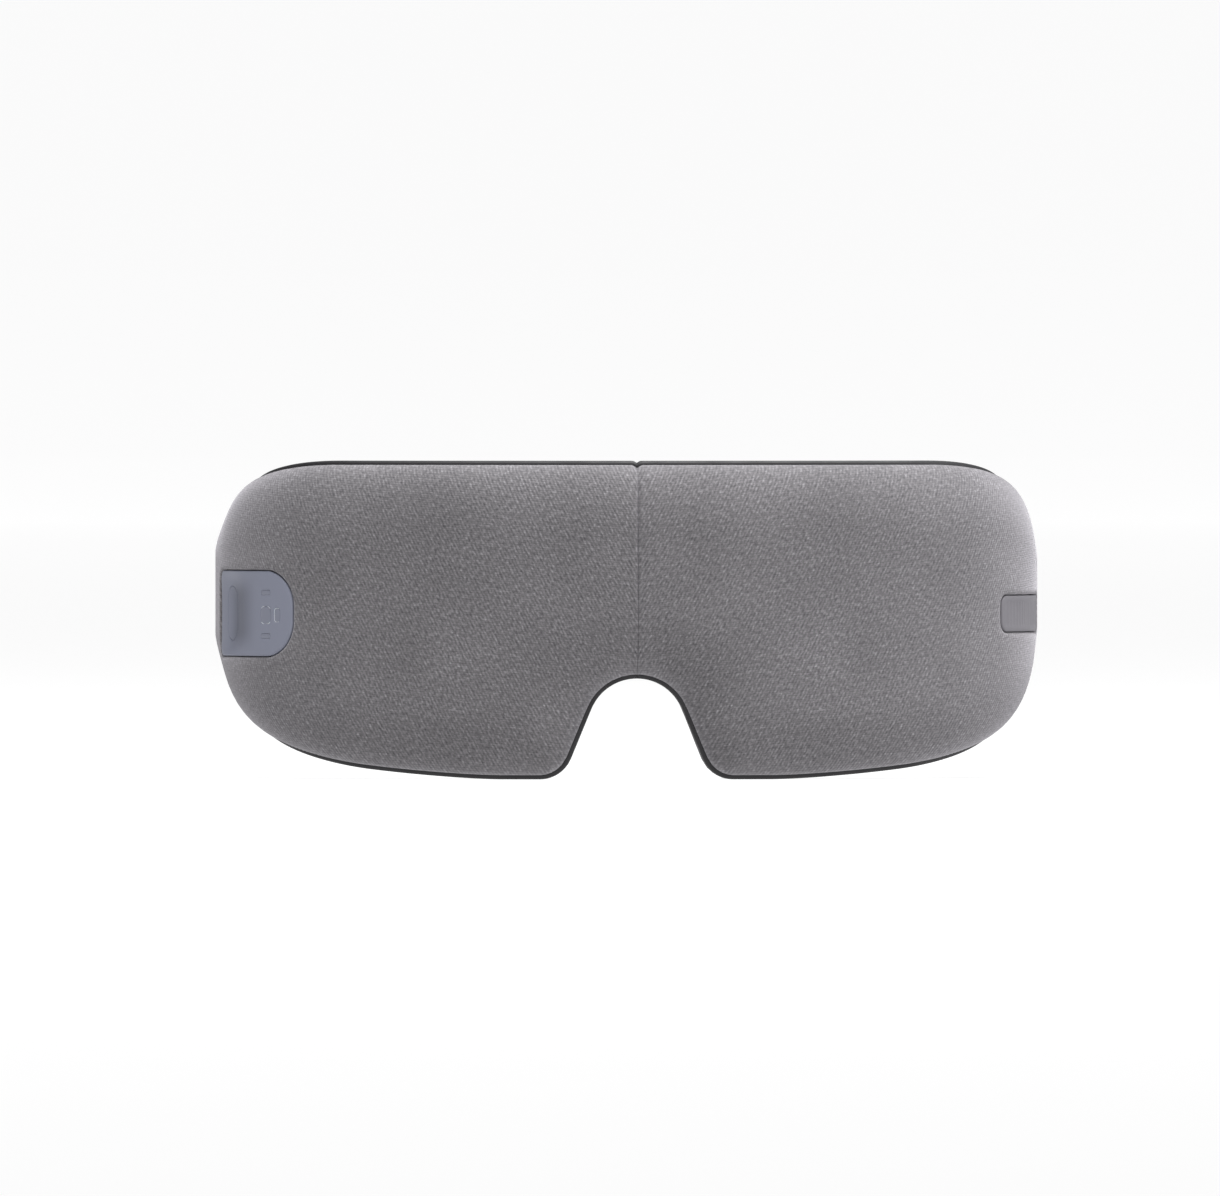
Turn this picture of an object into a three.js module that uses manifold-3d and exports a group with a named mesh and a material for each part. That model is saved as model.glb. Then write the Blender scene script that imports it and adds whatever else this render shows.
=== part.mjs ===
// Folding eye massager mask, worn like goggles. Millimetres, +Z up. The fabric front faces -Y and
// the wings run back along +Y. "left" is -X and "right" is +X, as seen from the front.
//
// Each half is laid out on its developed sheet: s is the length along the plan curve from the
// centre seam towards the wing tip, z is the height, and an offset is the distance from the plan
// curve, positive towards the front and negative towards the face.
import * as THREE from "three";
import { mergeVertices } from "three/addons/utils/BufferGeometryUtils.js";
import Module from "manifold-3d";

const wasm = await Module();
wasm.setup();
const { clamp, degToRad, lerp, smoothstep } = THREE.MathUtils;

// ---------------------------------------------------------------- driving dimensions
const HEIGHT = 79;
const GAP = 0.3; // what touching pieces keep between them
const SEAM_S = 0.35; // half of the gap between the two fabric fronts

// plan curve: a shallow front arc, a tight temple arc, then a straight wing
const FRONT_RADIUS = 155;
const FRONT_TURN = degToRad(25);
const TEMPLE_RADIUS = 50;
const WING_TURN = degToRad(84);
const TIP_S = 143;

// outline of one half, from the nose notch round the wing tip to the top of the seam
const CROWN = { radius: 12.4, top: 25 };
const FLANK_SLOPE = 2.4;
const FOOT_RADIUS = 8.5;
const FLAT_END = 34; // the bottom edge is level from the foot to here, so the mask can stand on it
const BOTTOM_RISE = [
  { from: FLAT_END, factor: 0.0113, power: 1.52 },
  { from: 67, factor: 0.0025, power: 2 },
];
const TOP_DROP = { from: 76.8, factor: 0.00345, power: 2 };
const TIP_ROUND = 6; // radius of the wing tip's corners

// layers: edges are insets from the outline, depths lie under the surface of the fabric
const BULGE = { height: 7.5, run: 16 };
const FABRIC = { edge: 0.8, thick: 1.2 };
const SHELL_WALL = 1.8;
const SHELL_DEPTH = 1.5;
const END_WALL_S = 1.6;
const TRIM = { front: -0.3, back: -3.2, chamfer: 0.45, width: 4.1 };
const TRAY = { edge: 0.8, rim: -3.5, run: 8, deep: 14, tip: 8, hingeFace: 7.5, ramp: [22.6, 36] };
const PAD = { start: 4.6, edge: 0.2, rim: -3.85, run: 14, clear: 0.35, hingeFace: 10.5, hingeEnd: 25 };

// the airbag and the heating film lie in a pocket of the face pad, over the eye
const POCKET = { from: 28, to: 54, low: 26, high: 60, bends: [32, 36, 46] };
const AIRBAG = { gap: 0.4, thick: 2.3 };
const FILM = { gap: 3, thick: 0.4 };

// hinge and fold
const AXIS_Y = 11;
const FOLD = degToRad(46); // how far each half turns about the hinge
const KNUCKLE = { radius: 3, bore: 1.55 };
const LEAF = { front: 7.8, back: 9.3, inner: 3.2, outer: 22, low: 32, high: 72 };
const KNUCKLES = { left: [[30, 36], [69, 75]], right: [[36.3, 42], [63, 68.7]] };
const PIN = { radius: 1.25, low: 28.5, high: 76.7 };
const CAP = { radius: 3.8, thick: 2.2, recess: 1.7, chamfer: 0.5 };
const REAR_COVER = { inner: 3.4, outer: 4.2, turn: 22 }; // turn in degrees to each side of the middle
const HINGE_BOSS = { radius: 2.4, front: 2.6, back: 6.5 };
const HINGE_SCREW_X = 14;
const HINGE_SCREW_Z = [48, 58];

// the soft web in the seam, and what crosses behind it
const GUSSET = { edge: 3.2, run: 13.6, back: 0.4, low: 0.8, rise: 4.2 };
const CROSSING_X = 8; // how far the hose and the ribbon reach to each side
const HOSE = { radius: 1.2, y: 1.75, z: 54 };
const RIBBON = { y: [1.5, 2], z: [38, 47] };

// strap arms, their bars on the wing tips, and the ring that joins them
const STRAP = { low: 31.4, high: 59.4, thick: 1.8, sagitta: 20, eye: 2.9, bore: 1.65 };
const LOOSE_EYE = { eye: 3.7, bore: 2.4 }; // the right arm's eye on the ring, which has play
const BAR_RADIUS = 1.3;
const ANCHOR = { bar: TIP_S + 5.5, offset: -4.5, plate: TIP_S + 0.3, plateEnd: TIP_S + 2.3 };
const LUG = { thick: 2.8, gap: 0.4, past: 2.5, offset: [-6.5, -2.5] };
const RING_X = 5; // half of the distance between the ring's two bars

// control panel on the left wing, label on the right wing
const PANEL = { from: 85, to: 119.5, low: 30.4, high: 51.6, fromCorner: 7, toCorner: 3 };
const PANEL_SINK = 0.05;
const FLANGE = 1.2;
const BOSS = { inset: 2.4, depth: 4.6 };
const SCOOP = { s: 112.5, z: 41, depth: 1.5, run: 5.5, half: 7.2 };
const BUTTON = { from: 109.8, to: 115.2, low: 34.3, high: 47.7, fromCorner: 2.7, toCorner: 2.7 };
const GUIDE = { from: 88.4, to: 96.6, low: 33.8, high: 48.2, fromCorner: 1, toCorner: 1 };
const LABEL_THICK = 1.1;
const LABEL = { from: 94.5, to: 126.5, low: 36.4, high: 45.4, fromCorner: 2.4, toCorner: 2.4 };

const LOOKS = {
  fabric: { color: 0x77757a, roughness: 0.95, metalness: 0 },
  trim: { color: 0x2b2a2d, roughness: 0.6, metalness: 0 },
  shell: { color: 0x2e2f33, roughness: 0.55, metalness: 0 },
  leather: { color: 0x38383c, roughness: 0.5, metalness: 0 },
  panel: { color: 0x83858f, roughness: 0.45, metalness: 0 },
  strap: { color: 0x6f6d73, roughness: 0.95, metalness: 0 },
  steel: { color: 0xb8babd, roughness: 0.3, metalness: 1 },
  copper: { color: 0xb5763a, roughness: 0.4, metalness: 1 },
  board: { color: 0x1f5a3a, roughness: 0.5, metalness: 0 },
  silicone: { color: 0xd9dadc, roughness: 0.35, metalness: 0 },
  cell: { color: 0x8d9096, roughness: 0.4, metalness: 0 },
  window: { color: 0xe8eaf0, roughness: 0.2, metalness: 0 },
};

const LEFT = -1;
const RIGHT = 1;
const nameOf = (side) => (side === LEFT ? "left" : "right");
const spread = (from, to, steps) =>
  Array.from({ length: steps + 1 }, (_, i) => lerp(from, to, i / steps));

// ---------------------------------------------------------------- plan curve
const frontLength = FRONT_RADIUS * FRONT_TURN;
const templeLength = TEMPLE_RADIUS * (WING_TURN - FRONT_TURN);

/** Point and direction of the right half's plan curve at length s from the seam. */
function plan(s) {
  const frontTurn = Math.min(s, frontLength) / FRONT_RADIUS;
  const turn = frontTurn + clamp(s - frontLength, 0, templeLength) / TEMPLE_RADIUS;
  const straight = Math.max(0, s - frontLength - templeLength);
  return {
    turn,
    x: FRONT_RADIUS * Math.sin(frontTurn)
      + TEMPLE_RADIUS * (Math.sin(turn) - Math.sin(frontTurn))
      + straight * Math.cos(turn),
    y: FRONT_RADIUS * (1 - Math.cos(frontTurn))
      + TEMPLE_RADIUS * (Math.cos(frontTurn) - Math.cos(turn))
      + straight * Math.sin(turn),
  };
}

/** The point at (s, z) on one side, at an offset from the plan curve. */
function place(side, s, z, offset) {
  const { x, y, turn } = plan(s);
  return new THREE.Vector3(side * (x + offset * Math.sin(turn)), y - offset * Math.cos(turn), z);
}

/** Depth behind the plan curve at which the plane at that y lies. */
function depthTo(s, y) {
  const at = plan(s);
  return (y - at.y) / Math.cos(at.turn);
}

/** A frame at that point: its Z looks out of the surface, its Y is up and its X runs towards +X. */
function frameAt(side, s, z, offset) {
  const { turn } = plan(s);
  const along = new THREE.Vector3(Math.cos(turn), side * Math.sin(turn), 0);
  const out = new THREE.Vector3(side * Math.sin(turn), -Math.cos(turn), 0);
  const frame = new THREE.Matrix4().makeBasis(along, new THREE.Vector3(0, 0, 1), out);
  return frame.setPosition(place(side, s, z, offset));
}

/** The same frame turned so that its Z points up, at height z. */
const uprightAt = (side, s, z, offset) =>
  frameAt(side, s, z, offset).multiply(new THREE.Matrix4().makeRotationX(-Math.PI / 2));

// ---------------------------------------------------------------- outline
const flankHypot = Math.hypot(1, FLANK_SLOPE);
const flankS = (CROWN.radius * FLANK_SLOPE) / flankHypot;
const flankZ = CROWN.top - CROWN.radius + CROWN.radius / flankHypot;
const footS = flankS + (flankZ - FOOT_RADIUS + FOOT_RADIUS / flankHypot) / FLANK_SLOPE;
const footEnd = footS + (FOOT_RADIUS * FLANK_SLOPE) / flankHypot;

const arcDrop = (radius, x) => radius - Math.sqrt(Math.max(0, radius ** 2 - x ** 2));
const climb = (s, { from, factor, power }) => factor * Math.max(0, s - from) ** power;
const tipDrop = (s) => arcDrop(TIP_ROUND, Math.max(0, s - TIP_S + TIP_ROUND));

function bottomEdge(s) {
  if (s < flankS) return CROWN.top - arcDrop(CROWN.radius, s);
  if (s < footS) return flankZ - FLANK_SLOPE * (s - flankS);
  if (s < footEnd) return arcDrop(FOOT_RADIUS, footEnd - s);
  return BOTTOM_RISE.reduce((sum, rise) => sum + climb(s, rise), tipDrop(s));
}

const topEdge = (s) => HEIGHT - climb(s, TOP_DROP) - tipDrop(s);

const tipColumns = [14, TIP_ROUND, 3, 1.2, 0.3, 0].map((inset) => TIP_S - inset);
const wingColumns = [...spread(68, 100, 4), 109, 118, ...tipColumns];
const footColumns = [...spread(footS, footEnd, 4), FLAT_END, 46, 58];
const lowerColumns = [...spread(SEAM_S, flankS, 5), ...footColumns, ...wingColumns];
const upperColumns = [SEAM_S, ...spread(12, 58, 4), ...wingColumns];
const lowerPath = lowerColumns.map((s) => [s, bottomEdge(s)]);
const upperPath = upperColumns.map((s) => [s, topEdge(s)]).reverse();
const outline = [...lowerPath, ...upperPath];

function distanceTo(path, s, z) {
  let nearest = Infinity;
  for (let i = 1; i < path.length; i++) {
    const [fromS, fromZ] = path[i - 1];
    const ds = path[i][0] - fromS;
    const dz = path[i][1] - fromZ;
    const t = clamp(((s - fromS) * ds + (z - fromZ) * dz) / (ds * ds + dz * dz), 0, 1);
    nearest = Math.min(nearest, Math.hypot(s - fromS - t * ds, z - fromZ - t * dz));
  }
  return nearest;
}

/** Height at s where the inset from that path is reached, coming in from its edge. */
function heightAt(path, edge, s, inset) {
  let near = edge(s);
  let far = HEIGHT / 2;
  for (let step = 0; step < 48; step++) {
    const middle = (near + far) / 2;
    if (distanceTo(path, s, middle) < inset) near = middle;
    else far = middle;
  }
  return far;
}

// ---------------------------------------------------------------- closed meshes
/** A geometry with shared corners and no collapsed triangles. */
function welded(geometry) {
  const bare = geometry.clone();
  bare.deleteAttribute("normal");
  bare.deleteAttribute("uv");
  const merged = mergeVertices(bare, 1e-4);
  const corners = Array.from(merged.index.array);
  const kept = [];
  for (let i = 0; i < corners.length; i += 3) {
    const [a, b, c] = corners.slice(i, i + 3);
    if (a !== b && b !== c && c !== a) kept.push(a, b, c);
  }
  merged.setIndex(kept);
  return merged;
}

/** Closed solid between two grids of [s, z, offset], the first one in front of the second. */
function between(side, front, rear) {
  const rows = front[0].length;
  const points = [front, rear].flat(2).flatMap(([s, z, offset]) => place(side, s, z, offset).toArray());
  const index = [];
  const at = (layer, i, j) => (layer * front.length + i) * rows + j;
  const quad = (a, b, c, d) => index.push(...(side === RIGHT ? [a, b, c, a, c, d] : [a, c, b, a, d, c]));
  const lastColumn = front.length - 1;
  const lastRow = rows - 1;
  for (let i = 1; i <= lastColumn; i++) {
    for (let j = 1; j <= lastRow; j++) {
      quad(at(0, i - 1, j - 1), at(0, i, j - 1), at(0, i, j), at(0, i - 1, j));
      quad(at(1, i - 1, j - 1), at(1, i - 1, j), at(1, i, j), at(1, i, j - 1));
    }
    quad(at(0, i - 1, 0), at(1, i - 1, 0), at(1, i, 0), at(0, i, 0));
    quad(at(0, i - 1, lastRow), at(0, i, lastRow), at(1, i, lastRow), at(1, i - 1, lastRow));
  }
  for (let j = 1; j <= lastRow; j++) {
    quad(at(0, 0, j - 1), at(0, 0, j), at(1, 0, j), at(1, 0, j - 1));
    quad(at(0, lastColumn, j - 1), at(1, lastColumn, j - 1), at(1, lastColumn, j), at(0, lastColumn, j));
  }
  const geometry = new THREE.BufferGeometry();
  geometry.setAttribute("position", new THREE.Float32BufferAttribute(points, 3));
  geometry.setIndex(index);
  return welded(geometry);
}

function solid(geometry) {
  const { attributes, index } = welded(geometry);
  const mesh = new wasm.Mesh({
    numProp: 3,
    vertProperties: new Float32Array(attributes.position.array),
    triVerts: new Uint32Array(index.array),
  });
  return new wasm.Manifold(mesh);
}

/** A geometry joined with others, then cut by others. */
function shaped(base, joined, cut = []) {
  let body = joined.reduce((sum, piece) => sum.add(solid(piece)), solid(base));
  body = cut.reduce((rest, tool) => rest.subtract(solid(tool)), body);
  const { vertProperties, triVerts } = body.getMesh();
  const geometry = new THREE.BufferGeometry();
  geometry.setAttribute("position", new THREE.BufferAttribute(vertProperties, 3));
  geometry.setIndex(new THREE.BufferAttribute(triVerts, 1));
  return geometry;
}

// ---------------------------------------------------------------- simple shapes
function box(x, y, z) {
  const geometry = new THREE.BoxGeometry(x[1] - x[0], y[1] - y[0], z[1] - z[0]);
  return geometry.translate((x[0] + x[1]) / 2, (y[0] + y[1]) / 2, (z[0] + z[1]) / 2);
}

/** Vertical round bar about (x, y). */
function bar(x, y, radius, [low, high], sides = 12) {
  const geometry = new THREE.CylinderGeometry(radius, radius, high - low, sides);
  return geometry.rotateX(Math.PI / 2).translate(x, y, (low + high) / 2);
}

/** Vertical round bar at (s, offset) on one side. */
function barAt(side, s, offset, radius, range, sides) {
  const { x, y } = place(side, s, 0, offset);
  return bar(x, y, radius, range, sides);
}

/** Turned shape about its own Z, from [radius, z] points that start and end on the axis. */
function turned(profile, sides = 12) {
  const points = profile.map(([radius, z]) => new THREE.Vector2(radius, z));
  return new THREE.LatheGeometry(points, sides).rotateX(Math.PI / 2);
}

/** Round bar through the surface at (s, z), over a range of offsets. */
function plugAt(side, s, z, radius, [low, high], sides = 10) {
  const geometry = new THREE.CylinderGeometry(radius, radius, high - low, sides).rotateX(Math.PI / 2);
  return geometry.translate(0, 0, (low + high) / 2).applyMatrix4(frameAt(side, s, z, 0));
}

/** Block over ranges of s, z and offset; its long faces are flat. */
function blockAt(side, s, z, offset) {
  const grid = (o) => s.map((sAt) => z.map((zAt) => [sAt, zAt, o]));
  return between(side, grid(offset[1]), grid(offset[0]));
}

/** Curved plate over a rounded rectangle of the sheet, between two offset functions. */
function patch(side, area, front, rear, grow = 0, rows = [0, 1]) {
  const { from, to, low, high, fromCorner, toCorner } = area;
  const angles = [0, 45, 90].map(degToRad);
  const cornerColumns = (end, inward, radius) =>
    angles.map((angle) => [end + inward * radius * (1 - Math.cos(angle)), radius * (1 - Math.sin(angle))]);
  const start = from - grow;
  const end = to + grow;
  const startRadius = fromCorner + grow;
  const endRadius = toCorner + grow;
  const middle = spread(start + startRadius, end - endRadius, Math.ceil((end - start) / 9)).slice(1, -1);
  const columns = [
    ...cornerColumns(start, 1, startRadius),
    ...middle.map((s) => [s, 0]),
    ...cornerColumns(end, -1, endRadius).reverse(),
  ];
  const grid = (offset) => columns.map(([s, inset]) => rows.map((row) => {
    const z = lerp(low - grow + inset, high + grow - inset, row);
    return [s, z, offset(s, z)];
  }));
  return between(side, grid(front), grid(rear));
}

const level = (offset) => () => offset;
const inner = (area, inset) => ({
  from: area.from + inset,
  to: area.to - inset,
  low: area.low + inset,
  high: area.high - inset,
  fromCorner: Math.max(0.6, area.fromCorner - inset),
  toCorner: Math.max(0.6, area.toCorner - inset),
});

// ---------------------------------------------------------------- dished layers
const FRONT_COLUMNS = [6, 9.5, 12.5, 15, 17.5, 20.5, 24.4, 34, 46, 58, 68, 76, 84, 92, 100, 109, 118];
const REAR_COLUMNS = [8, 12.5, 16.5, 20, 22.6, 25, 28, 32, 36, 46, 58, 68, 76, 84, 92, 100, 109, 118];
const FRONT_ANGLES = [0, 25, 55, 90].map(degToRad);
const REAR_ANGLES = [0, 40, 90].map(degToRad);
const TIP_ANGLES = [0, 13, 28, 55, 90].map(degToRad);

/** Grid over a half whose border is a quarter ellipse from the rim's offset to rim + rise(s). */
function dish({ start, edge, run, rim, rise, columns, angles, walled = false }) {
  const insetAt = (angle) => edge + run * (1 - Math.cos(angle));
  const insets = angles.map(insetAt);
  const all = [start, ...columns, ...TIP_ANGLES.map((angle) => TIP_S - insetAt(angle)).reverse()];
  const offsetAt = (s, z) => {
    const share = clamp((distanceTo(outline, s, z) - edge) / run, 0, 1);
    return rim + rise(s) * Math.sqrt(1 - (1 - share) ** 2);
  };
  const grid = all.map((s) => {
    const low = insets.map((inset) => heightAt(lowerPath, bottomEdge, s, inset));
    const high = insets.map((inset) => heightAt(upperPath, topEdge, s, inset)).reverse();
    return [...low, ...high].map((z) => [s, z, offsetAt(s, z)]);
  });
  if (walled) grid.unshift(grid[0].map(([s, z]) => [s, z, rim]));
  return grid;
}

/** The padded front, or a surface that lies at some depth under it. */
function frontDish(depth, start, walled) {
  return dish({
    start,
    walled,
    edge: FABRIC.edge + depth,
    run: BULGE.run - depth,
    rim: 0,
    rise: () => BULGE.height - depth,
    columns: FRONT_COLUMNS,
    angles: FRONT_ANGLES,
  });
}

/** Depth of the rear shell's back face behind the plan curve. */
function trayDepth(s) {
  const ramp = clamp((s - TRAY.ramp[0]) / (TRAY.ramp[1] - TRAY.ramp[0]), 0, 1);
  const atHinge = depthTo(Math.min(s, TRAY.ramp[1]), TRAY.hingeFace);
  return lerp(atHinge, TRAY.deep, ramp) - (TRAY.deep - TRAY.tip) * smoothstep(s, 95, TIP_S);
}

/** The rear shell's back, or its inside at a wall's depth. */
function trayDish(depth, start) {
  return dish({
    start,
    walled: true,
    edge: TRAY.edge + depth,
    run: TRAY.run - depth,
    rim: TRAY.rim,
    rise: (s) => -(trayDepth(s) + TRAY.rim - depth),
    columns: REAR_COLUMNS,
    angles: REAR_ANGLES,
  });
}

/** Depth of the pad's inside, which hugs the rear shell and clears the hinge leaf. */
function padInside(s) {
  const overHinge = s < PAD.hingeEnd ? depthTo(s, PAD.hingeFace) : 0;
  return Math.max(trayDepth(s) + PAD.clear, overHinge);
}

/** Depth of the pad's face side: thin at the nose, full at the eye, slimmer along the temple. */
function padOutside(s) {
  return 12 + 16 * smoothstep(s, 0, 34) - 8 * smoothstep(s, 36, 84) - 9 * smoothstep(s, 100, 140);
}

function padDish(edge, run, depth) {
  return dish({
    start: PAD.start,
    edge,
    run,
    rim: PAD.rim,
    rise: (s) => -(depth(s) + PAD.rim),
    columns: REAR_COLUMNS,
    angles: REAR_ANGLES,
  });
}

// ---------------------------------------------------------------- places of the fasteners and insides
const HOUSING_SCREWS = [
  { s: 40, z: 67 },
  { s: 40, z: 13 },
  { s: 91, z: 66 },
  { s: 91, z: 21 },
];
const SCREW = { radius: 0.9, head: 1.9, headThick: 0.8, reach: 3 };
const POST = { radius: 2.6, top: 4.1, clear: 1.6 };

const NECK = { s: [136, ANCHOR.plate + 0.5], z: [38, 53], offset: [-6, -4] };
const neckTool = (side) => blockAt(
  side,
  [NECK.s[0] - GAP, NECK.s[1] + 3],
  [NECK.z[0] - GAP, NECK.z[1] + GAP],
  [NECK.offset[0] - GAP, NECK.offset[1] + GAP],
);

const PORT = { s: 76, offset: -8, width: 9, depth: 3.2, low: 4.9, high: 12.4, wall: 0.4 };
const portShape = (grow) =>
  roundedRect(PORT.width + 2 * grow, PORT.depth + 2 * grow, PORT.depth / 2 + grow);

function roundedRect(width, height, radius) {
  const shape = new THREE.Shape();
  const x = width / 2 - radius;
  const y = height / 2 - radius;
  shape.absarc(x, y, radius, 0, Math.PI / 2);
  shape.absarc(-x, y, radius, Math.PI / 2, Math.PI);
  shape.absarc(-x, -y, radius, Math.PI, 1.5 * Math.PI);
  shape.absarc(x, -y, radius, 1.5 * Math.PI, 2 * Math.PI);
  return shape;
}

const extruded = (shape, depth, curveSegments = 4) =>
  new THREE.ExtrudeGeometry(shape, { depth, bevelEnabled: false, curveSegments });

/** Upright prism of the port's section at the port's place, over a range of heights. */
function portPrism(grow, [low, high]) {
  const upright = uprightAt(LEFT, PORT.s, low, PORT.offset);
  return extruded(portShape(grow), high - low, 3).applyMatrix4(upright);
}

// ---------------------------------------------------------------- scene
const mask = new THREE.Group();

function add(name, look, geometry, frame) {
  const mesh = new THREE.Mesh(geometry, new THREE.MeshStandardMaterial(LOOKS[look]));
  mesh.name = name;
  if (frame) mesh.applyMatrix4(frame);
  mask.add(mesh);
}

// ---------------------------------------------------------------- fabric, shells, trim and pad
function fabricSkin(side) {
  const skin = between(side, frontDish(0, SEAM_S), frontDish(FABRIC.thick, SEAM_S));
  const area = side === LEFT ? PANEL : LABEL;
  const tool = patch(side, area, level(BULGE.height + 2), level(BULGE.height - 4), GAP);
  add(`${nameOf(side)}_fabric_skin`, "fabric", shaped(skin, [], [tool]));
}

function frontShell(side) {
  const outer = frontDish(SHELL_DEPTH, END_WALL_S, true);
  const inside = frontDish(SHELL_DEPTH + SHELL_WALL, END_WALL_S + SHELL_WALL, true);
  const posts = [];
  const tools = [];
  for (const { s, z } of HOUSING_SCREWS) {
    const foot = POST.clear + SHELL_WALL - trayDepth(s);
    posts.push(plugAt(side, s, z, POST.radius, [foot, POST.top], 6));
    tools.push(plugAt(side, s, z, SCREW.radius + GAP, [foot - 1, 0.5 - SCREW.reach], 6));
  }
  if (side === LEFT) {
    const opening = inner(PANEL, BOSS.inset);
    tools.push(patch(side, opening, level(BULGE.height + 2), level(BULGE.height - 8), 0.4));
  }
  add(`${nameOf(side)}_front_shell`, "shell", shaped(between(side, outer, inside), posts, tools));
}

function edgeTrim(side) {
  const { front, back, chamfer, width } = TRIM;
  const section = [
    [chamfer, front],
    [0, front - chamfer],
    [0, back + chamfer],
    [chamfer, back],
    [width, back],
    [width, front],
  ];
  const rings = outline.map(([s, z], i) => {
    const [beforeS, beforeZ] = outline[Math.max(0, i - 1)];
    const [afterS, afterZ] = outline[Math.min(outline.length - 1, i + 1)];
    const isEnd = i === 0 || i === outline.length - 1;
    const ds = isEnd ? Math.sign(afterS - beforeS) : afterS - beforeS;
    const dz = isEnd ? 0 : afterZ - beforeZ;
    const length = Math.hypot(ds, dz);
    return section.map(([inset, offset]) =>
      place(side, s - (inset * dz) / length, z + (inset * ds) / length, offset));
  });
  const count = section.length;
  const at = (ring, corner) => ring * count + (corner % count);
  const index = [];
  for (let ring = 1; ring < rings.length; ring++) {
    for (let corner = 0; corner < count; corner++) {
      index.push(at(ring - 1, corner), at(ring, corner), at(ring, corner + 1));
      index.push(at(ring - 1, corner), at(ring, corner + 1), at(ring - 1, corner + 1));
    }
  }
  const lastRing = rings.length - 1;
  for (let corner = 2; corner < count; corner++) {
    index.push(at(0, 0), at(0, corner - 1), at(0, corner));
    index.push(at(lastRing, 0), at(lastRing, corner), at(lastRing, corner - 1));
  }
  if (side === RIGHT) index.reverse();
  const geometry = new THREE.BufferGeometry();
  const coordinates = rings.flat().flatMap((point) => point.toArray());
  geometry.setAttribute("position", new THREE.Float32BufferAttribute(coordinates, 3));
  geometry.setIndex(index);
  add(`${nameOf(side)}_edge_trim`, "trim", welded(geometry));
}

function rearShell(side) {
  const shell = between(side, trayDish(SHELL_WALL, END_WALL_S + SHELL_WALL), trayDish(0, END_WALL_S));
  const bosses = [];
  const tools = [neckTool(side)];
  for (const { s, z } of HOUSING_SCREWS) {
    const back = -trayDepth(s);
    tools.push(plugAt(side, s, z, SCREW.radius + GAP, [back - 1, back + 3], 6));
    tools.push(plugAt(side, s, z, SCREW.head + GAP, [back - 1, back + 0.2 + SCREW.headThick], 6));
  }
  for (const z of HINGE_SCREW_Z) {
    const along = (radius, from, to) => {
      const geometry = new THREE.CylinderGeometry(radius, radius, to - from, 6);
      return geometry.translate(side * HINGE_SCREW_X, (from + to) / 2, z);
    };
    bosses.push(along(HINGE_BOSS.radius, HINGE_BOSS.front, HINGE_BOSS.back));
    tools.push(along(SCREW.radius + GAP, 3.2, 9));
  }
  if (side === LEFT) tools.push(portPrism(GAP, [0, PORT.high + GAP]));
  add(`${nameOf(side)}_rear_shell`, "shell", shaped(shell, bosses, tools));
}

function facePad(side) {
  const inside = padDish(TRAY.edge - PAD.clear, TRAY.run + PAD.clear, padInside);
  const outside = padDish(PAD.edge, PAD.run, padOutside);
  const reach = FILM.gap + FILM.thick + PAD.clear;
  const pocket = pocketSheet(side, { gap: -1, thick: reach + 1 }, -0.4);
  const tools = [neckTool(side), pocket];
  if (side === LEFT) tools.push(portPrism(GAP, [0, PORT.high + GAP]));
  add(`${nameOf(side)}_face_pad`, "leather", shaped(between(side, inside, outside), [], tools));
}

/** Sheet that follows the rear shell at a gap, over the pocket's area less an inset. */
function pocketSheet(side, { gap, thick }, inset) {
  const columns = [POCKET.from + inset, ...POCKET.bends, POCKET.to - inset];
  const rows = [POCKET.low + inset, POCKET.high - inset];
  const grid = (depth) => columns.map((s) => rows.map((z) => [s, z, -trayDepth(s) - depth]));
  return between(side, grid(gap), grid(gap + thick));
}

// ---------------------------------------------------------------- hinge
function hingeLeaf(side) {
  const { front, back, inner: innerX, outer, low, high } = LEAF;
  const spanX = (from, to) => [Math.min(side * from, side * to), Math.max(side * from, side * to)];
  const plate = box(spanX(innerX, outer), [front, back], [low, high]);
  const ranges = KNUCKLES[nameOf(side)];
  const joined = ranges.flatMap((range) => [
    bar(0, AXIS_Y, KNUCKLE.radius, range, 12),
    box(spanX(0, innerX + 0.4), [AXIS_Y - KNUCKLE.radius + 0.05, back], range),
  ]);
  const tools = [bar(0, AXIS_Y, KNUCKLE.bore, [20, 90], 10)];
  for (const z of HINGE_SCREW_Z) {
    const hole = (radius, from) => {
      const geometry = new THREE.CylinderGeometry(radius, radius, 12 - from, 6);
      return geometry.translate(side * HINGE_SCREW_X, (12 + from) / 2, z);
    };
    tools.push(hole(SCREW.radius + GAP, 5), hole(SCREW.head + GAP, back - 0.9));
  }
  add(`${nameOf(side)}_hinge_leaf`, "steel", shaped(plate, joined, tools));
}

/** Screw with its head's top at z = 0 and its tip ahead along +Z. */
function screw(length) {
  const { radius, head, headThick } = SCREW;
  return turned([
    [0, 0],
    [head, 0],
    [head, headThick],
    [radius, headThick],
    [radius, length - 0.6],
    [0, length],
  ], 6);
}

function screws(side) {
  HOUSING_SCREWS.forEach(({ s, z }, i) => {
    const back = 0.1 - trayDepth(s);
    const length = -SCREW.reach - back;
    add(`${nameOf(side)}_housing_screw_${i + 1}`, "steel", screw(length), frameAt(side, s, z, back));
  });
  HINGE_SCREW_Z.forEach((z, i) => {
    const frame = frameAt(side, 0, z, -LEAF.back + 0.05);
    frame.setPosition(side * HINGE_SCREW_X, LEAF.back - 0.05, z);
    add(`${nameOf(side)}_hinge_screw_${i + 1}`, "steel", screw(5.4), frame);
  });
}

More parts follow.
